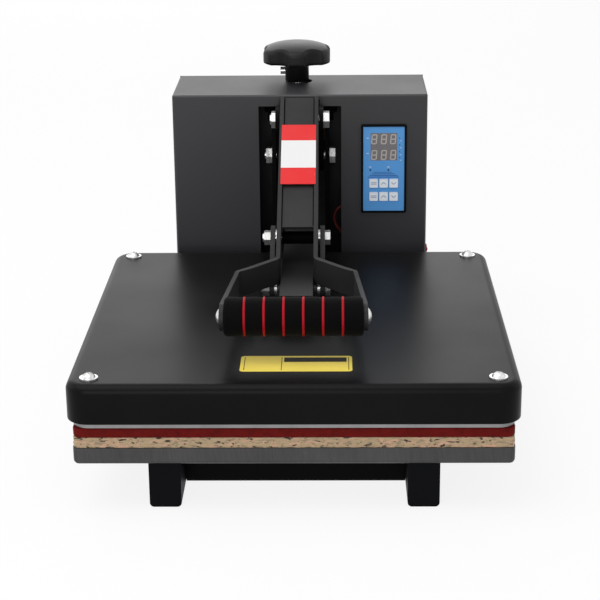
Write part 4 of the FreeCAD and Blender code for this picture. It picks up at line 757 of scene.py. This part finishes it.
# ------------------------------------------------------------------ operators
class HEATPRESS_OT_frame_finishes(Operator):
    """Gives every node of the frame the finish of its material slot"""

    bl_idname = "heat_press.frame_finishes"
    bl_label = "Frame finishes"

    def execute(self, context):
        slots = {entry["node"]: entry["material_slot"] for entry in frame["record"]["subparts"]}
        for name, obj in NODES.items():
            if name not in slots:
                raise RuntimeError("frame node without a finish: " + name)
            obj.data.materials.clear()
            obj.data.materials.append(finish(OWN_FINISH.get(name, slots[name])))
        return {"FINISHED"}


class HEATPRESS_OT_cover(Operator):
    """Presses the head's cover from one sheet, with round edges and a turned in lip"""

    bl_idname = "heat_press.cover"
    bl_label = "Cover"

    wall = 0.0016
    edge = 0.008
    corner = 0.020
    lip = 0.003
    skirt = 0.0028  # how far the lip hangs below the solid's
    hem_r = 0.0014
    nick = 0.0004  # cut corner between the wall and the lip inside
    under_share = 0.98  # of the half width, where the innermost ring of the underside lies
    under_inset = 0.05  # of the next ring
    flat_start = 0.002  # from the round edge to the first ring of the flat top
    flat_share = 0.96  # of the half width, where the rings of the top end
    flat_rings = 16

    def execute(self, context):
        centre, half = middle("cover"), span("cover") / 2
        z0, z1 = low("cover").z - self.skirt, high("cover").z
        w, e, hem = self.wall, self.edge, self.hem_r
        inner = [(half.x * self.under_share, z1 - w), (self.under_inset, z1 - w)]
        inner += quarter(e - w, e, z1 - e, 90, 0, count=8)
        floor, lip_in = z0 + w, w + self.lip
        inner += [(w, floor + self.nick), (w + self.nick, floor), (lip_in, floor), (lip_in, z0)]
        outer = quarter(hem, hem, z0 + hem, -90, 0, count=5) + quarter(e, e, z1 - e, 0, 90, count=12)
        run = np.linspace(0, half.x * self.flat_share - e, self.flat_rings)
        flat = [(e + self.flat_start + t, z1) for t in run]
        profile = inner + outer + flat
        rings = stacked_outline(half.x, half.y, self.corner, profile, centre, per_corner=18, per_side=24)
        obj = new_piece("cover_pressed", *shell(rings), sharp=40)
        dress(obj, "head", finish("cover_paint"), "cover_paint", "cover")
        return {"FINISHED"}


class HEATPRESS_OT_pads(Operator):
    """Lays the felt and the silicone sponge on the lower platen"""

    bl_idname = "heat_press.pads"
    bl_label = "Felt and silicone pads"

    felt_edge, silicone_edge = 0.0006, 0.0016
    felt_corner, silicone_corner = 0.004, 0.008
    silicone_wave = 0.0001
    clearance = 0.0002
    flat_insets = np.array([0.0004, 0.002, 0.010, 0.060, 0.120, 0.170])  # rings that keep the flat faces flat
    wall_rings = 6
    phase = np.array([410.0, 530.0, 900.0])
    waves = ((0.5, 1.0, 0.0), (0.3, 2.3, 1.0), (0.2, 5.1, 2.0))  # share, rate and start of each wave

    def execute(self, context):
        wave = context.scene.heat_press_pads.edge_wave
        self.pad("felt", self.felt_edge, wave, self.felt_corner)
        self.pad("silicone", self.silicone_edge, self.silicone_wave, self.silicone_corner)
        return {"FINISHED"}

    def pad(self, kind, edge, wave, corner):
        """Padded slab: stacked rounded rectangles with round edges, each point moved outwards or inwards by a
        sum of three sines of its place."""
        node = kind + "_pad"
        centre, half, z0, z1 = middle(node), span(node) / 2, low(node).z, high(node).z
        flats = edge + self.flat_insets
        profile = [(inset, z0) for inset in flats[::-1]] + quarter(edge, edge, z0 + edge, -90, 0, count=4)
        profile += [(0.0, z) for z in np.linspace(z0 + edge, z1 - edge, self.wall_rings)[1:-1]]
        profile += quarter(edge, edge, z1 - edge, 0, 90, count=4) + [(inset, z1) for inset in flats]
        inset = wave + self.clearance
        rings = stacked_outline(
            half.x - inset, half.y - inset, corner, profile, centre, per_corner=12, per_side=150)
        from_middle = rings - np.array([centre.x, centre.y, 0])
        t = from_middle @ self.phase
        drift = wave * sum(part * np.sin(rate * t + start) for part, rate, start in self.waves)
        reach = np.linalg.norm(from_middle[..., :2], axis=-1, keepdims=True)
        rings[..., :2] += from_middle[..., :2] / reach * drift[..., None]
        obj = new_piece(kind + "_layer", *shell(rings), sharp=50)
        dress(obj, "base", finish(kind), kind, node)


class HEATPRESS_OT_grip(Operator):
    """Draws the foam sleeve over the grip tube and sets the red rings in it. The sleeve's ends follow the
    lever's sides, which lean apart towards the front"""

    bl_idname = "heat_press.grip"
    bl_label = "Foam grip and rings"

    ring_count = 6
    ring_half = 0.00112
    solid_ring_half = 0.00125
    ring_depth = 0.0014
    ring_sink = 0.0001  # how far a ring reaches below its groove
    ring_powers = (0.7, 0.8)  # of the ring's section along and across, below 1 for a squarer one
    lean = 0.0585
    lean_power = 8  # how near the end the lean begins
    skin = 0.0003  # foam surface below the solid's
    bore_gap = 0.00005
    end_run = 0.0018
    end_profile = ((0.0, 0.0016), (0.0003, 0.0009), (0.0010, 0.0005))  # from the end, below the surface
    pinch_reach = 0.0022
    along_points = 481
    section_points = 16
    around = 72

    def execute(self, context):
        grip = context.scene.heat_press_grip
        centre, half = middle("foam_grip"), span("foam_grip") / 2
        outer, bore = span("foam_grip").z / 2, span("grip_tube").z / 2 + self.bore_gap
        ring_pitch = (span("grip_rings").x - 2 * self.solid_ring_half) / (self.ring_count - 1)
        rings_at = (np.arange(self.ring_count) - (self.ring_count - 1) / 2) * ring_pitch
        x = np.linspace(-half.x + self.end_run, half.x - self.end_run, self.along_points)
        gap = np.abs(x[:, None] - rings_at[None]).min(1)
        between = np.cos(np.clip(gap / (ring_pitch / 2), 0, 1) * math.pi / 2)
        drawn_in = grip.pinch * np.exp(-((gap / self.pinch_reach) ** 2))
        r = outer - self.skin - drawn_in + grip.bulge * (1 - between ** 2)
        r = np.where(gap < self.ring_half, outer - self.ring_depth, r)
        r = np.minimum(r, outer)
        left = [(-half.x, bore)] + [(-half.x + along, outer - drop) for along, drop in self.end_profile]
        right = [(-along, radius) for along, radius in left[::-1]]
        grid = turned_rings(left + list(zip(x, r)) + right, centre, "X", self.around)
        offset = grid[..., 0] - centre.x
        near_end = (np.abs(offset) / half.x) ** self.lean_power
        grid[..., 0] += np.sign(offset) * near_end * self.lean * (outer + centre.y - grid[..., 1])
        obj = new_piece("grip_sleeve", *ring_surface(grid), sharp=45)
        dress(obj, "lever", finish("grip_foam"), "grip_foam", "foam_grip")
        a = np.linspace(0, 2 * math.pi, self.section_points, endpoint=False)
        along_power, across_power = self.ring_powers
        ring_r, thick = span("grip_rings").z / 2, self.ring_depth / 2 + self.ring_sink
        section_x = self.ring_half * np.sign(np.cos(a)) * np.abs(np.cos(a)) ** along_power
        section_r = ring_r - thick + thick * np.sign(np.sin(a)) * np.abs(np.sin(a)) ** across_power
        sections = [np.column_stack([at + section_x, section_r]) for at in rings_at]
        bands = [ring_surface(turned_rings(s, centre, "X", self.around)) for s in sections]
        obj = new_piece("grip_bands", *gather(bands))
        dress(obj, "lever", finish("ring_red"), "ring_red", "grip_rings")
        return {"FINISHED"}


class HEATPRESS_OT_lever_fittings(Operator):
    """Fits the sleeve between the lever's sides at the link pin, in a near-black finish that is painted
    shade, and the thin near-black strips beside the web, which are painted shadow of the gaps between the web
    and the sides
    """

    bl_idname = "heat_press.lever_fittings"
    bl_label = "Lever sleeve and painted gap shade"

    sleeve_r = 0.0062
    sleeve_bore_r = 0.00405
    sleeve_gap = 0.0003  # to each side of the lever
    around = 48
    bevel = 0.0004
    # thin near-black strips beside the web: painted shadow of the gaps between the web and the lever's sides
    joint = 0.0011
    gap_shade_start = 0.001
    gap_shade_stop = 0.003  # how far a painted shadow strip ends before the web does
    film = 0.00015

    def execute(self, context):
        pin, inner = middle("link_bolt_rear"), low("lever_side_right").x
        half, r = inner - self.sleeve_gap, self.sleeve_r
        end = [(-half, self.sleeve_bore_r), (-half, r - self.bevel), (-half + self.bevel, r)]
        profile = end + [(-along, radius) for along, radius in end[::-1]]
        rings = turned_rings(profile, (0.0, pin.y, pin.z), "X", self.around)
        obj = new_piece("pin_sleeve", *ring_surface(rings), sharp=40)
        # the sleeve's near-black dull finish is painted shade, darker than the frame's paint
        dress(obj, "link", finish("painted_shade_black"), "frame_paint")
        # strips along both sides of the web, a near-black film just above it: painted shadow of the gaps
        run = span("lever_web").y / math.cos(LEVER_SLOPE) - self.gap_shade_stop
        strips = [bar(-inner, -inner + self.joint, self.gap_shade_start, run),
                  bar(inner - self.joint, inner, self.gap_shade_start, run)]
        black = finish("painted_shade_black")
        print_piece("web_joints", strips, lever_place(0.0, 0.0), self.film, "lever", black, "lever_paint")
        return {"FINISHED"}


class HEATPRESS_OT_knob(Operator):
    """Moulds the pressure knob: a domed disc with six finger notches, on a plain hub"""

    bl_idname = "heat_press.knob"
    bl_label = "Pressure knob"

    notches = 6
    notch_r = 0.0187
    notch_depth = 0.006
    notch_soft = 0.0012
    hub_r = 0.0129
    hub_bevel = 0.0006
    hub_neck = 0.0004  # from the end of the hub's straight part to the disc
    hub_flare = 0.0008
    hub_bite = 0.0040  # how far the hub reaches into the disc
    height = 0.0217
    sink = 0.0018  # how far the top lies below the solid's
    rise = 0.0078
    flatness = 2.8
    edge = 0.0034
    foot = 0.0035
    foot_profile = (  # share of the radius and height
        (0.70, foot), (0.80, 0.0012), (0.90, 0.0), (0.955, 0.0), (0.985, 0.0006), (0.997, 0.0018))
    wall_rings = (0.2, 0.9, 4)  # first and last, as shares of the wall's height, and their number
    edge_rings = 9
    dome_rings = 18
    pole = 0.02  # share of the radius of the dome's last ring
    around = 288
    hub_around = 72
    notch_fade = (0.45, 0.5)  # share of the radius where the notches begin, and the run over which they grow

    def outline(self, a, rim):
        """Radius of the knob at each angle: the rim's circle, cut by the notches' circles, with a soft corner
        between."""
        pitch = 2 * math.pi / self.notches
        off = (a + math.pi / 2) % pitch - pitch / 2
        reach = rim + self.notch_r - self.notch_depth
        inside = self.notch_r ** 2 - (reach * np.sin(off)) ** 2
        notch = np.where(inside > 0, reach * np.cos(off) - np.sqrt(np.maximum(inside, 0.0)), reach)
        h = np.clip(0.5 + 0.5 * (notch - rim) / self.notch_soft, 0, 1)
        return notch * (1 - h) + rim * h - self.notch_soft * h * (1 - h)

    def execute(self, context):
        """The disc is a stack of the outline, scaled by a share of the radius: the foot, four rings of the
        wall, the round edge and the dome, whose height falls with a power of the radius. The notches fade
        to the middle."""
        centre, z0, z1 = middle("pressure_knob"), low("pressure_knob").z, high("pressure_knob").z
        rim = span("pressure_knob").y / 2
        under = z1 - self.sink - self.height
        wall_count = self.wall_rings[-1]
        a = np.linspace(0, 2 * math.pi, self.around, endpoint=False)
        turn = np.radians(np.linspace(0, 90, self.edge_rings))
        below = [(self.hub_r / rim / 2, self.foot), *self.foot_profile, (1.0, self.foot)]
        foot_scale, foot_z = np.array(below).T
        edge_scale = 1 - self.edge / rim * (1 - np.cos(turn))
        top_scale = np.linspace(edge_scale[-1], self.pole, self.dome_rings)[1:]
        scale = np.concatenate([foot_scale, np.ones(wall_count), edge_scale, top_scale])[:, None]
        fade_start, fade_run = self.notch_fade
        blend = np.clip((scale - fade_start) / fade_run, 0, 1) ** 2
        radius = scale * (self.outline(a, rim) * blend + rim * (1 - blend))
        z = self.height - self.rise * (radius / rim) ** self.flatness
        first, last = len(foot_z), len(foot_z) + wall_count
        z[:first] = foot_z[:, None]
        z[last:last + len(turn)] -= self.edge * (1 - np.sin(turn))[:, None]
        z[first:last] = self.foot + np.linspace(*self.wall_rings)[:, None] * (z[last] - self.foot)
        grid = np.stack([centre.x + radius * np.cos(a), centre.y + radius * np.sin(a), under + z], -1)
        disc, r, bevel = under - z0, self.hub_r, self.hub_bevel
        hub = [(0.0, r - bevel), (bevel, r), (disc - self.hub_neck, r),
               (disc + self.hub_bite, r + self.hub_flare)]
        hub_grid = turned_rings(hub, (centre.x, centre.y, z0), "Z", self.hub_around)
        obj = new_piece("knob_moulded", *gather([shell(grid), shell(hub_grid)]), sharp=50)
        dress(obj, "knob", finish("knob_plastic"), "knob_plastic", "pressure_knob")
        return {"FINISHED"}


class HEATPRESS_OT_display(Operator):
    """Draws the display's unlit digits, the indicator lamps and the lines printed on the controller's face"""

    bl_idname = "heat_press.display"
    bl_label = "Display and face print"

    columns = (-0.0102, 0.0, 0.0098)
    rows = (0.0323, 0.0153)
    digit_lean = 0.08
    segment_t = 0.0013
    segment_gap = 0.0003
    segment_share = 0.94
    lines = (  # left end, right end, height and width of each
        (-0.0105, 0.0085, -0.0035, 0.0005), (-0.0125, 0.0115, -0.0052, 0.0006),
        (-0.0150, 0.0145, -0.0070, 0.0007), (-0.0170, 0.0160, -0.0088, 0.0008))
    dashes = ((-0.0172, 0.0335), (-0.0172, 0.0170), (-0.0143, 0.0022), (0.0049, 0.0022))
    dash_half = (0.0012, 0.0005)
    ticks = (0.0305, 0.0230, 0.0155, 0.0095)
    tick_reach = (0.0172, 0.0186)
    lamps = ((-0.0143, -0.0011), (0.0049, -0.0011))
    lamp_r = 0.0010
    dots = ((0.0165, 0.0335), (0.0165, 0.0262), (0.0165, 0.0188), (0.0165, 0.0125))
    dot_r = 0.0006
    around = 20
    print_t = 0.00012
    lamp_t = 0.0003

    def digit(self, width, height):
        """Outlines of the seven strokes of one digit, pointed at both ends and leaning to the right."""
        t, gap = self.segment_t, self.segment_gap
        w, h = width / 2 - t / 2, height / 2 - t / 2
        strokes = [((-w + gap, v), (w - gap, v)) for v in (h, 0.0, -h)]
        strokes += [((s * w, v + gap), (s * w, v + h - gap)) for s in (-1, 1) for v in (0.0, -h)]
        shapes = []
        for a, b in strokes:
            a, b = np.array(a), np.array(b)
            o = stroke(a, b, t)
            tip = (b - a) / np.linalg.norm(b - a) * t / 2
            o = np.array([a - tip, o[0], o[1], b + tip, o[2], o[3]])
            o = o.mean(0) + (o - o.mean(0)) * self.segment_share
            o[:, 0] += o[:, 1] * self.digit_lean
            shapes.append(o)
        return shapes

    def execute(self, context):
        controls = context.scene.heat_press_controls
        face = middle("controller_face")
        shapes = [o + np.array([u, v]) for u in self.columns for v in self.rows
                  for o in self.digit(controls.digit_width, controls.digit_height)]
        window = front_place(face.x, low("display_window").y, face.z)
        print_piece("display_digits", shapes, window, self.print_t, "base", finish("digit"), "window_dark")
        place = front_place(face.x, low("controller_face").y, face.z)
        shapes = [stroke((u0, v), (u1, v), t) for u0, u1, v, t in self.lines]
        face_print("face_lines", shapes, place, self.print_t, "panel_line")
        wide, thick = self.dash_half
        shapes = [bar(u - wide, u + wide, v - thick, v + thick) for u, v in self.dashes]
        shapes += [bar(*self.tick_reach, v - thick, v + thick) for v in self.ticks]
        face_print("face_marks", shapes, place, self.print_t, "panel_white")
        t = np.linspace(0, 2 * math.pi, self.around, endpoint=False)
        rounds = [(spot, self.lamp_r) for spot in self.lamps] + [(spot, self.dot_r) for spot in self.dots]
        shapes = [np.column_stack([u + r * np.cos(t), v + r * np.sin(t)]) for (u, v), r in rounds]
        face_print("face_lamps", shapes, place, self.lamp_t, "lamp_dark")
        return {"FINISHED"}


class HEATPRESS_OT_key_marks(Operator):
    """Prints an arrow up, an arrow down or two plain bars on each key"""

    bl_idname = "heat_press.key_marks"
    bl_label = "Key marks"

    arrow_half = 0.0024
    arrow_height = 0.0022
    line = 0.0008
    bar_half = 0.0030
    bar_reach = (0.0004, 0.0012)  # of each bar from the key's middle
    print_t = 0.0001
    same_place = 0.001

    def execute(self, context):
        keys = sorted(n for n in NODES if n.startswith("controller_key_"))
        left, right = min(middle(k).x for k in keys), max(middle(k).x for k in keys)
        w, h, t, half = self.arrow_half, self.arrow_height / 2, self.line, self.bar_half
        near, far = self.bar_reach
        bars = [bar(-half, half, near, far), bar(-half, half, -far, -near)]
        down = [stroke((-w, h), (0, -h), t), stroke((0, -h), (w, h), t)]
        up = [stroke((-w, -h), (0, h), t), stroke((0, h), (w, -h), t)]
        for key in keys:
            at = middle(key)
            place = front_place(at.x, low(key).y, at.z)
            shapes = up
            if abs(at.x - left) < self.same_place:
                shapes = bars
            elif abs(at.x - right) < self.same_place:
                shapes = down
            name, body = key.replace("controller_key", "key_mark"), NODES[key]["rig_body"]
            print_piece(name, shapes, place, self.print_t, body, finish("key_mark"), "key_white")
        return {"FINISHED"}


class HEATPRESS_OT_labels(Operator):
    """Sticks the plain colour labels on the lever and on the cover"""

    bl_idname = "heat_press.labels"
    bl_label = "Labels"

    film = 0.00018
    web_recess = 0.003  # from the web to the front edges of the lever's sides
    label_gap = 0.0002  # between those edges and the label
    lever_down = 0.0897  # from the web's upper end to the label's middle
    lever_corner = 0.0009
    band_edge = (0.228, 0.231)  # share of the label's length from its middle where white turns red
    cover_corner = 0.0035
    cover_from_middle = (0.002, -0.1415)
    line_t = 0.0006
    line_in = (0.0035, 0.0360, 0.0030)  # two lines from the label's left end, one from its right end
    line_inset = 0.003
    bar_gaps = (0.002, 0.0018)  # to the lines at both sides
    bar_from_middle = 0.004
    bar_inset = 0.004
    ink_t = 0.00008

    def execute(self, context):
        labels = context.scene.heat_press_labels
        self.lever_label(labels)
        self.cover_label(labels)
        return {"FINISHED"}

    def lever_label(self, labels):
        """Red, white and red film across the lever's two sides, with a UV map along its length."""
        width, run = labels.lever_size
        place = lever_place(self.web_recess + self.label_gap, self.lever_down)
        outline = rounded_outline(width / 2, run / 2, self.lever_corner, per_corner=5, per_side=4)
        points, faces = flat_print(outline, place, self.film)
        obj = new_piece("lever_label", points, faces, smooth=False)
        top, foot = place(np.array([[0.0, -run / 2, 0.0], [0.0, run / 2, 0.0]]))
        along = (points - top) @ (foot - top) / run ** 2
        corners = [loop.vertex_index for loop in obj.data.loops]
        flat = np.column_stack([points[:, 0] / width + 0.5, along])[corners]
        obj.data.uv_layers.new(name="film").data.foreach_set("uv", flat.astype(np.float32).ravel())
        dress(obj, "lever", self.lever_film(labels), "ring_red")

    def lever_film(self, labels):
        """Film with red ends, faint grey clouds and a few scratches."""
        grey_share, cloud_grey, scratch, gloss = 0.08, (0.5, 0.45, 0.42), (0.8, 0.75, 0.72), (0.3, 0.42)
        mat, tree, skin = start_material("lever_label", {"Specular IOR Level": 0.25})
        uv = add(tree, "ShaderNodeUVMap", uv_map="film").outputs["UV"]
        along = add(tree, "ShaderNodeSeparateXYZ", {"Vector": uv}).outputs["Y"]
        from_middle = maths(tree, "ABSOLUTE", maths(tree, "SUBTRACT", along, 0.5))
        coat = group(tree, "powder", Grain=0.0006, Peel=0.01)
        worn = group(tree, "scuffs", Patch=40.0, Amount=0.5)["Mask"]
        c = blend_colours(tree, spread(tree, from_middle, self.band_edge), labels.white, labels.red)
        c = blend_colours(tree, spread(tree, coat["Shade"], CLOUD_RANGE, (0.0, grey_share)), c, cloud_grey)
        c = blend_colours(tree, worn, c, scratch)
        finish_skin(tree, skin, c, spread(tree, coat["Gloss"], GLOSS_RANGE, gloss), coat["Height"], 0.00002)
        return mat

    def cover_label(self, labels):
        """Yellow film on the cover, with a black bar and thin black lines printed on it."""
        centre, top = middle("cover"), high("cover").z
        hw, hd = labels.cover_size[0] / 2, labels.cover_size[1] / 2
        x, y = self.cover_from_middle[0], centre.y + self.cover_from_middle[1]
        outline = rounded_outline(hw, hd, self.cover_corner, per_corner=8, per_side=4)
        obj = new_piece("cover_label", *flat_print(outline, top_place(x, y, top), self.film), smooth=False)
        dress(obj, "head", printed("cover_label", labels.yellow, rough=0.4, specular=0.25), "panel_blue")
        place = top_place(x, y, top + self.film)
        left, split, right = -hw + self.line_in[0], -hw + self.line_in[1], hw - self.line_in[2]
        end = hd - self.line_inset
        shapes = [stroke((u, -end), (u, end), self.line_t) for u in (left, split, right)]
        shapes += [bar(split + self.bar_gaps[0], right - self.bar_gaps[1],
                       self.bar_from_middle, hd - self.bar_inset)]
        ink = printed("cover_label_black", labels.black, rough=0.5, specular=0.1)
        print_piece("cover_label_print", shapes, place, self.ink_t, "head", ink, "panel_blue")


class HEATPRESS_OT_leads(Operator):
    """Runs the internal leads: two from the controller, down in front of the right post and across to the
    mains inlet, and one from the relay to the inlet, each a round wire along a rounded broken line"""

    bl_idname = "heat_press.leads"
    bl_label = "Internal leads"

    radius = 0.00155
    pitch = 0.007
    pin_pitch = 0.007
    post_t = 0.0044
    post_gap = 0.0155
    sag = 0.0105  # how far the first lead hangs out to the slot
    start_drop = 0.0116  # from the controller's middle to the upper lead
    dip = 0.001  # how far a lead's end goes into its plug
    straight = 0.018  # run out of a terminal
    turn_in = 0.024
    drops = (0.020, 0.030, 0.038, 0.052, 0.064)  # of the bends by the post, below the lead's start
    floor_turn = 0.030  # run of a wide bend at the floor
    floor_lift = 0.005
    relay_bend = 0.014

    def execute(self, context):
        inlet = middle("power_inlet")
        post_x = low("post_right").x + self.post_t + self.post_gap
        tubes = [self.mains_lead(i, inlet, post_x + i * self.pitch) for i in (0, 1)]
        dress(new_piece("mains_leads", *gather(tubes)), "base", finish("wire_red"), "wire_red", "box_wires")
        dress(new_piece("relay_lead", *self.relay_lead(inlet)), "base", finish("wire_grey"), "wire_red")
        return {"FINISHED"}

    def mains_lead(self, i, inlet, beside):
        """Lead number i, from the controller's back by the post to one pin of the inlet."""
        case, case_y = middle("controller_housing"), high("controller_housing").y
        inlet_y, drops = low("power_inlet").y, self.drops
        front, floor = low("box_wires").y + self.radius, low("box_wires").z + self.radius
        pin_x = inlet.x + (2 * i - 1) * self.pin_pitch
        x, z = case.x + i * self.pitch, case.z - self.start_drop - i * self.pitch
        run = floor + (1 - i) * self.pitch
        loop = beside - (1 - i) * self.sag
        line = [
            (x, case_y - self.dip, z),
            (x, case_y + self.straight, z),
            (beside + self.turn_in, case_y + self.straight / 2, z - drops[0]),
            (beside, front, z - drops[1]),
            (loop, front, z - drops[2]),
            (loop, front, z - drops[3]),
            (beside, front, z - drops[4]),
            (beside, front, (z + run) / 2),
            (beside, front, run),
            (beside - self.floor_turn, front, run),
            (pin_x + self.turn_in, front, run),
            (pin_x, front + self.floor_turn, run + self.floor_lift),
            (pin_x, inlet_y - self.turn_in, inlet.z),
            (pin_x, inlet_y + self.dip, inlet.z),
        ]
        return shell(tube_along(rounded_path(line), self.radius))

    def relay_lead(self, inlet):
        """Lead from the relay's lower terminal to the inlet's upper pin."""
        relay, inlet_y = middle("solid_state_relay"), low("power_inlet").y
        y, z = low("solid_state_relay").y, low("solid_state_relay").z + span("solid_state_relay").z / 6
        end_z = inlet.z + self.pitch
        line = [
            (relay.x, y + self.dip, z),
            (relay.x, y - self.straight, z),
            (relay.x, y - self.relay_bend, (z + end_z) / 2),
            (inlet.x, inlet_y - self.turn_in, end_z),
            (inlet.x, inlet_y + self.dip, end_z),
        ]
        return shell(tube_along(rounded_path(line), self.radius))


class HEATPRESS_OT_stage(Operator):
    """Lays the pale floor, sets the soft studio light and places the camera"""

    bl_idname = "heat_press.stage"
    bl_label = "Studio"

    floor_half = 6.0
    own_light = 0.86  # share of the floor's colour that is its own light where it is looked at
    lamps = (  # name, setting, share of its power, width, place, height of the point it looks at
        ("key", "key_light", 1.0, 2.0, (-0.7, -0.6, 2.3), 0.1),
        ("front", "front_light", 1.0, 1.4, (-0.5, -2.9, 0.9), 0.15),
        ("back", "back_light", 1.0, 2.4, (-0.5, 2.6, 1.3), 0.15),
        ("fill_left", "fill_light", 1.3, 1.2, (-2.2, 0.2, 1.1), 0.15),
        ("fill_right", "fill_light", 0.6, 1.2, (2.2, 0.2, 1.1), 0.15))
    sensor = 36.0
    clip = (0.05, 50.0)

    def pale(self, name, base):
        """Pale surface that keeps the object's shadow: part of its colour is its own light where the camera
        or a mirror looks at it."""
        mat, tree, out = empty_material(name)
        grain = noise(tree, object_place(tree), scale=30.0, detail=4.0)
        matt = add(tree, "ShaderNodeBsdfDiffuse", {"Color": shades(tree, grain, base, 0.01)})
        glow = add(tree, "ShaderNodeEmission", {"Color": (1, 1, 1, 1), "Strength": 1.0})
        fac = maths(tree, "MULTIPLY", looked_at(tree), self.own_light)
        mix = add(tree, "ShaderNodeMixShader", {"Fac": fac, 1: matt.outputs[0], 2: glow.outputs[0]})
        tree.links.new(mix.outputs[0], out.inputs["Surface"])
        return mat

    def execute(self, context):
        scene, studio = context.scene, context.scene.heat_press_studio
        half = self.floor_half
        corners = [(-half, -half, 0), (half, -half, 0), (half, half, 0), (-half, half, 0)]
        floor = new_piece("floor", corners, [[0, 1, 2, 3]], smooth=False)
        floor.data.materials.append(self.pale("floor", studio.floor))
        scene.world = self.sky(studio)
        for name, setting, part, width, place, target_z in self.lamps:
            data = bpy.data.lights.new(name, "AREA")
            data.energy, data.size = part * getattr(studio, setting), width
            obj = bpy.data.objects.new(name, data)
            obj.location = place
            ahead = Vector((0, 0, target_z)) - Vector(place)
            obj.rotation_euler = ahead.to_track_quat("-Z", "Y").to_euler()
            scene.collection.objects.link(obj)
        self.camera(scene, studio)
        scene.view_settings.view_transform = "Standard"
        return {"FINISHED"}

    def sky(self, studio):
        """World that is white where it is looked at and lights the object by the surround's strength."""
        world = bpy.data.worlds.new("studio")
        world.use_nodes = True
        tree = world.node_tree
        tree.nodes.clear()
        strength = spread(tree, looked_at(tree), UNIT, (studio.surround, 1.0))
        light = add(tree, "ShaderNodeBackground", {"Color": (1, 1, 1, 1), "Strength": strength})
        add(tree, "ShaderNodeOutputWorld", {"Surface": light.outputs[0]})
        return world

    def camera(self, scene, studio):
        """Camera turned to the right by the yaw and down by the pitch, then rolled."""
        pitch, roll, yaw = studio.camera_turn
        ahead = Vector((math.sin(yaw) * math.cos(pitch), math.cos(yaw) * math.cos(pitch), -math.sin(pitch)))
        right = Vector((math.cos(yaw), -math.sin(yaw), 0.0))
        up = right.cross(ahead)
        right_rolled = right * math.cos(roll) + up * math.sin(roll)
        up_rolled = up * math.cos(roll) - right * math.sin(roll)
        data = bpy.data.cameras.new("camera")
        data.sensor_width = self.sensor
        data.lens = studio.camera_lens
        data.clip_start, data.clip_end = self.clip
        obj = bpy.data.objects.new("camera", data)
        turn = Matrix((right_rolled, up_rolled, -ahead)).transposed()
        obj.matrix_world = Matrix.Translation(Vector(studio.camera_place)) @ turn.to_4x4()
        scene.collection.objects.link(obj)
        scene.camera = obj


ORDER = [
    HEATPRESS_OT_frame_finishes,
    HEATPRESS_OT_cover,
    HEATPRESS_OT_pads,
    HEATPRESS_OT_grip,
    HEATPRESS_OT_lever_fittings,
    HEATPRESS_OT_knob,
    HEATPRESS_OT_display,
    HEATPRESS_OT_key_marks,
    HEATPRESS_OT_labels,
    HEATPRESS_OT_leads,
    HEATPRESS_OT_stage,
]

SETTINGS = {
    "heat_press_paints": HeatPressPaints,
    "heat_press_pads": HeatPressPads,
    "heat_press_grip": HeatPressGrip,
    "heat_press_controls": HeatPressControls,
    "heat_press_labels": HeatPressLabels,
    "heat_press_studio": HeatPressStudio,
}


class HEATPRESS_PT_panel(Panel):
    """Lists the heat press's pieces and settings"""

    bl_idname = "HEATPRESS_PT_panel"
    bl_label = "Heat press"
    bl_space_type = "VIEW_3D"
    bl_region_type = "UI"
    bl_category = "Heat Press"

    def draw(self, context):
        for operator in ORDER:
            self.layout.operator(operator.bl_idname)
        for name, kind in SETTINGS.items():
            box = self.layout.box()
            for key in kind.__annotations__:
                box.prop(getattr(context.scene, name), key)


def register():
    for kind in list(SETTINGS.values()) + ORDER + [HEATPRESS_PT_panel]:
        bpy.utils.register_class(kind)
    for name, kind in SETTINGS.items():
        setattr(bpy.types.Scene, name, PointerProperty(type=kind))


def unregister():
    for name in SETTINGS:
        delattr(bpy.types.Scene, name)
    for kind in reversed(list(SETTINGS.values()) + ORDER + [HEATPRESS_PT_panel]):
        bpy.utils.unregister_class(kind)


def main():
    """Build everything in order."""
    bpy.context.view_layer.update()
    register()
    for operator in ORDER:
        family, name = operator.bl_idname.split(".")
        getattr(getattr(bpy.ops, family), name)()


if __name__ == "__main__":
    main()
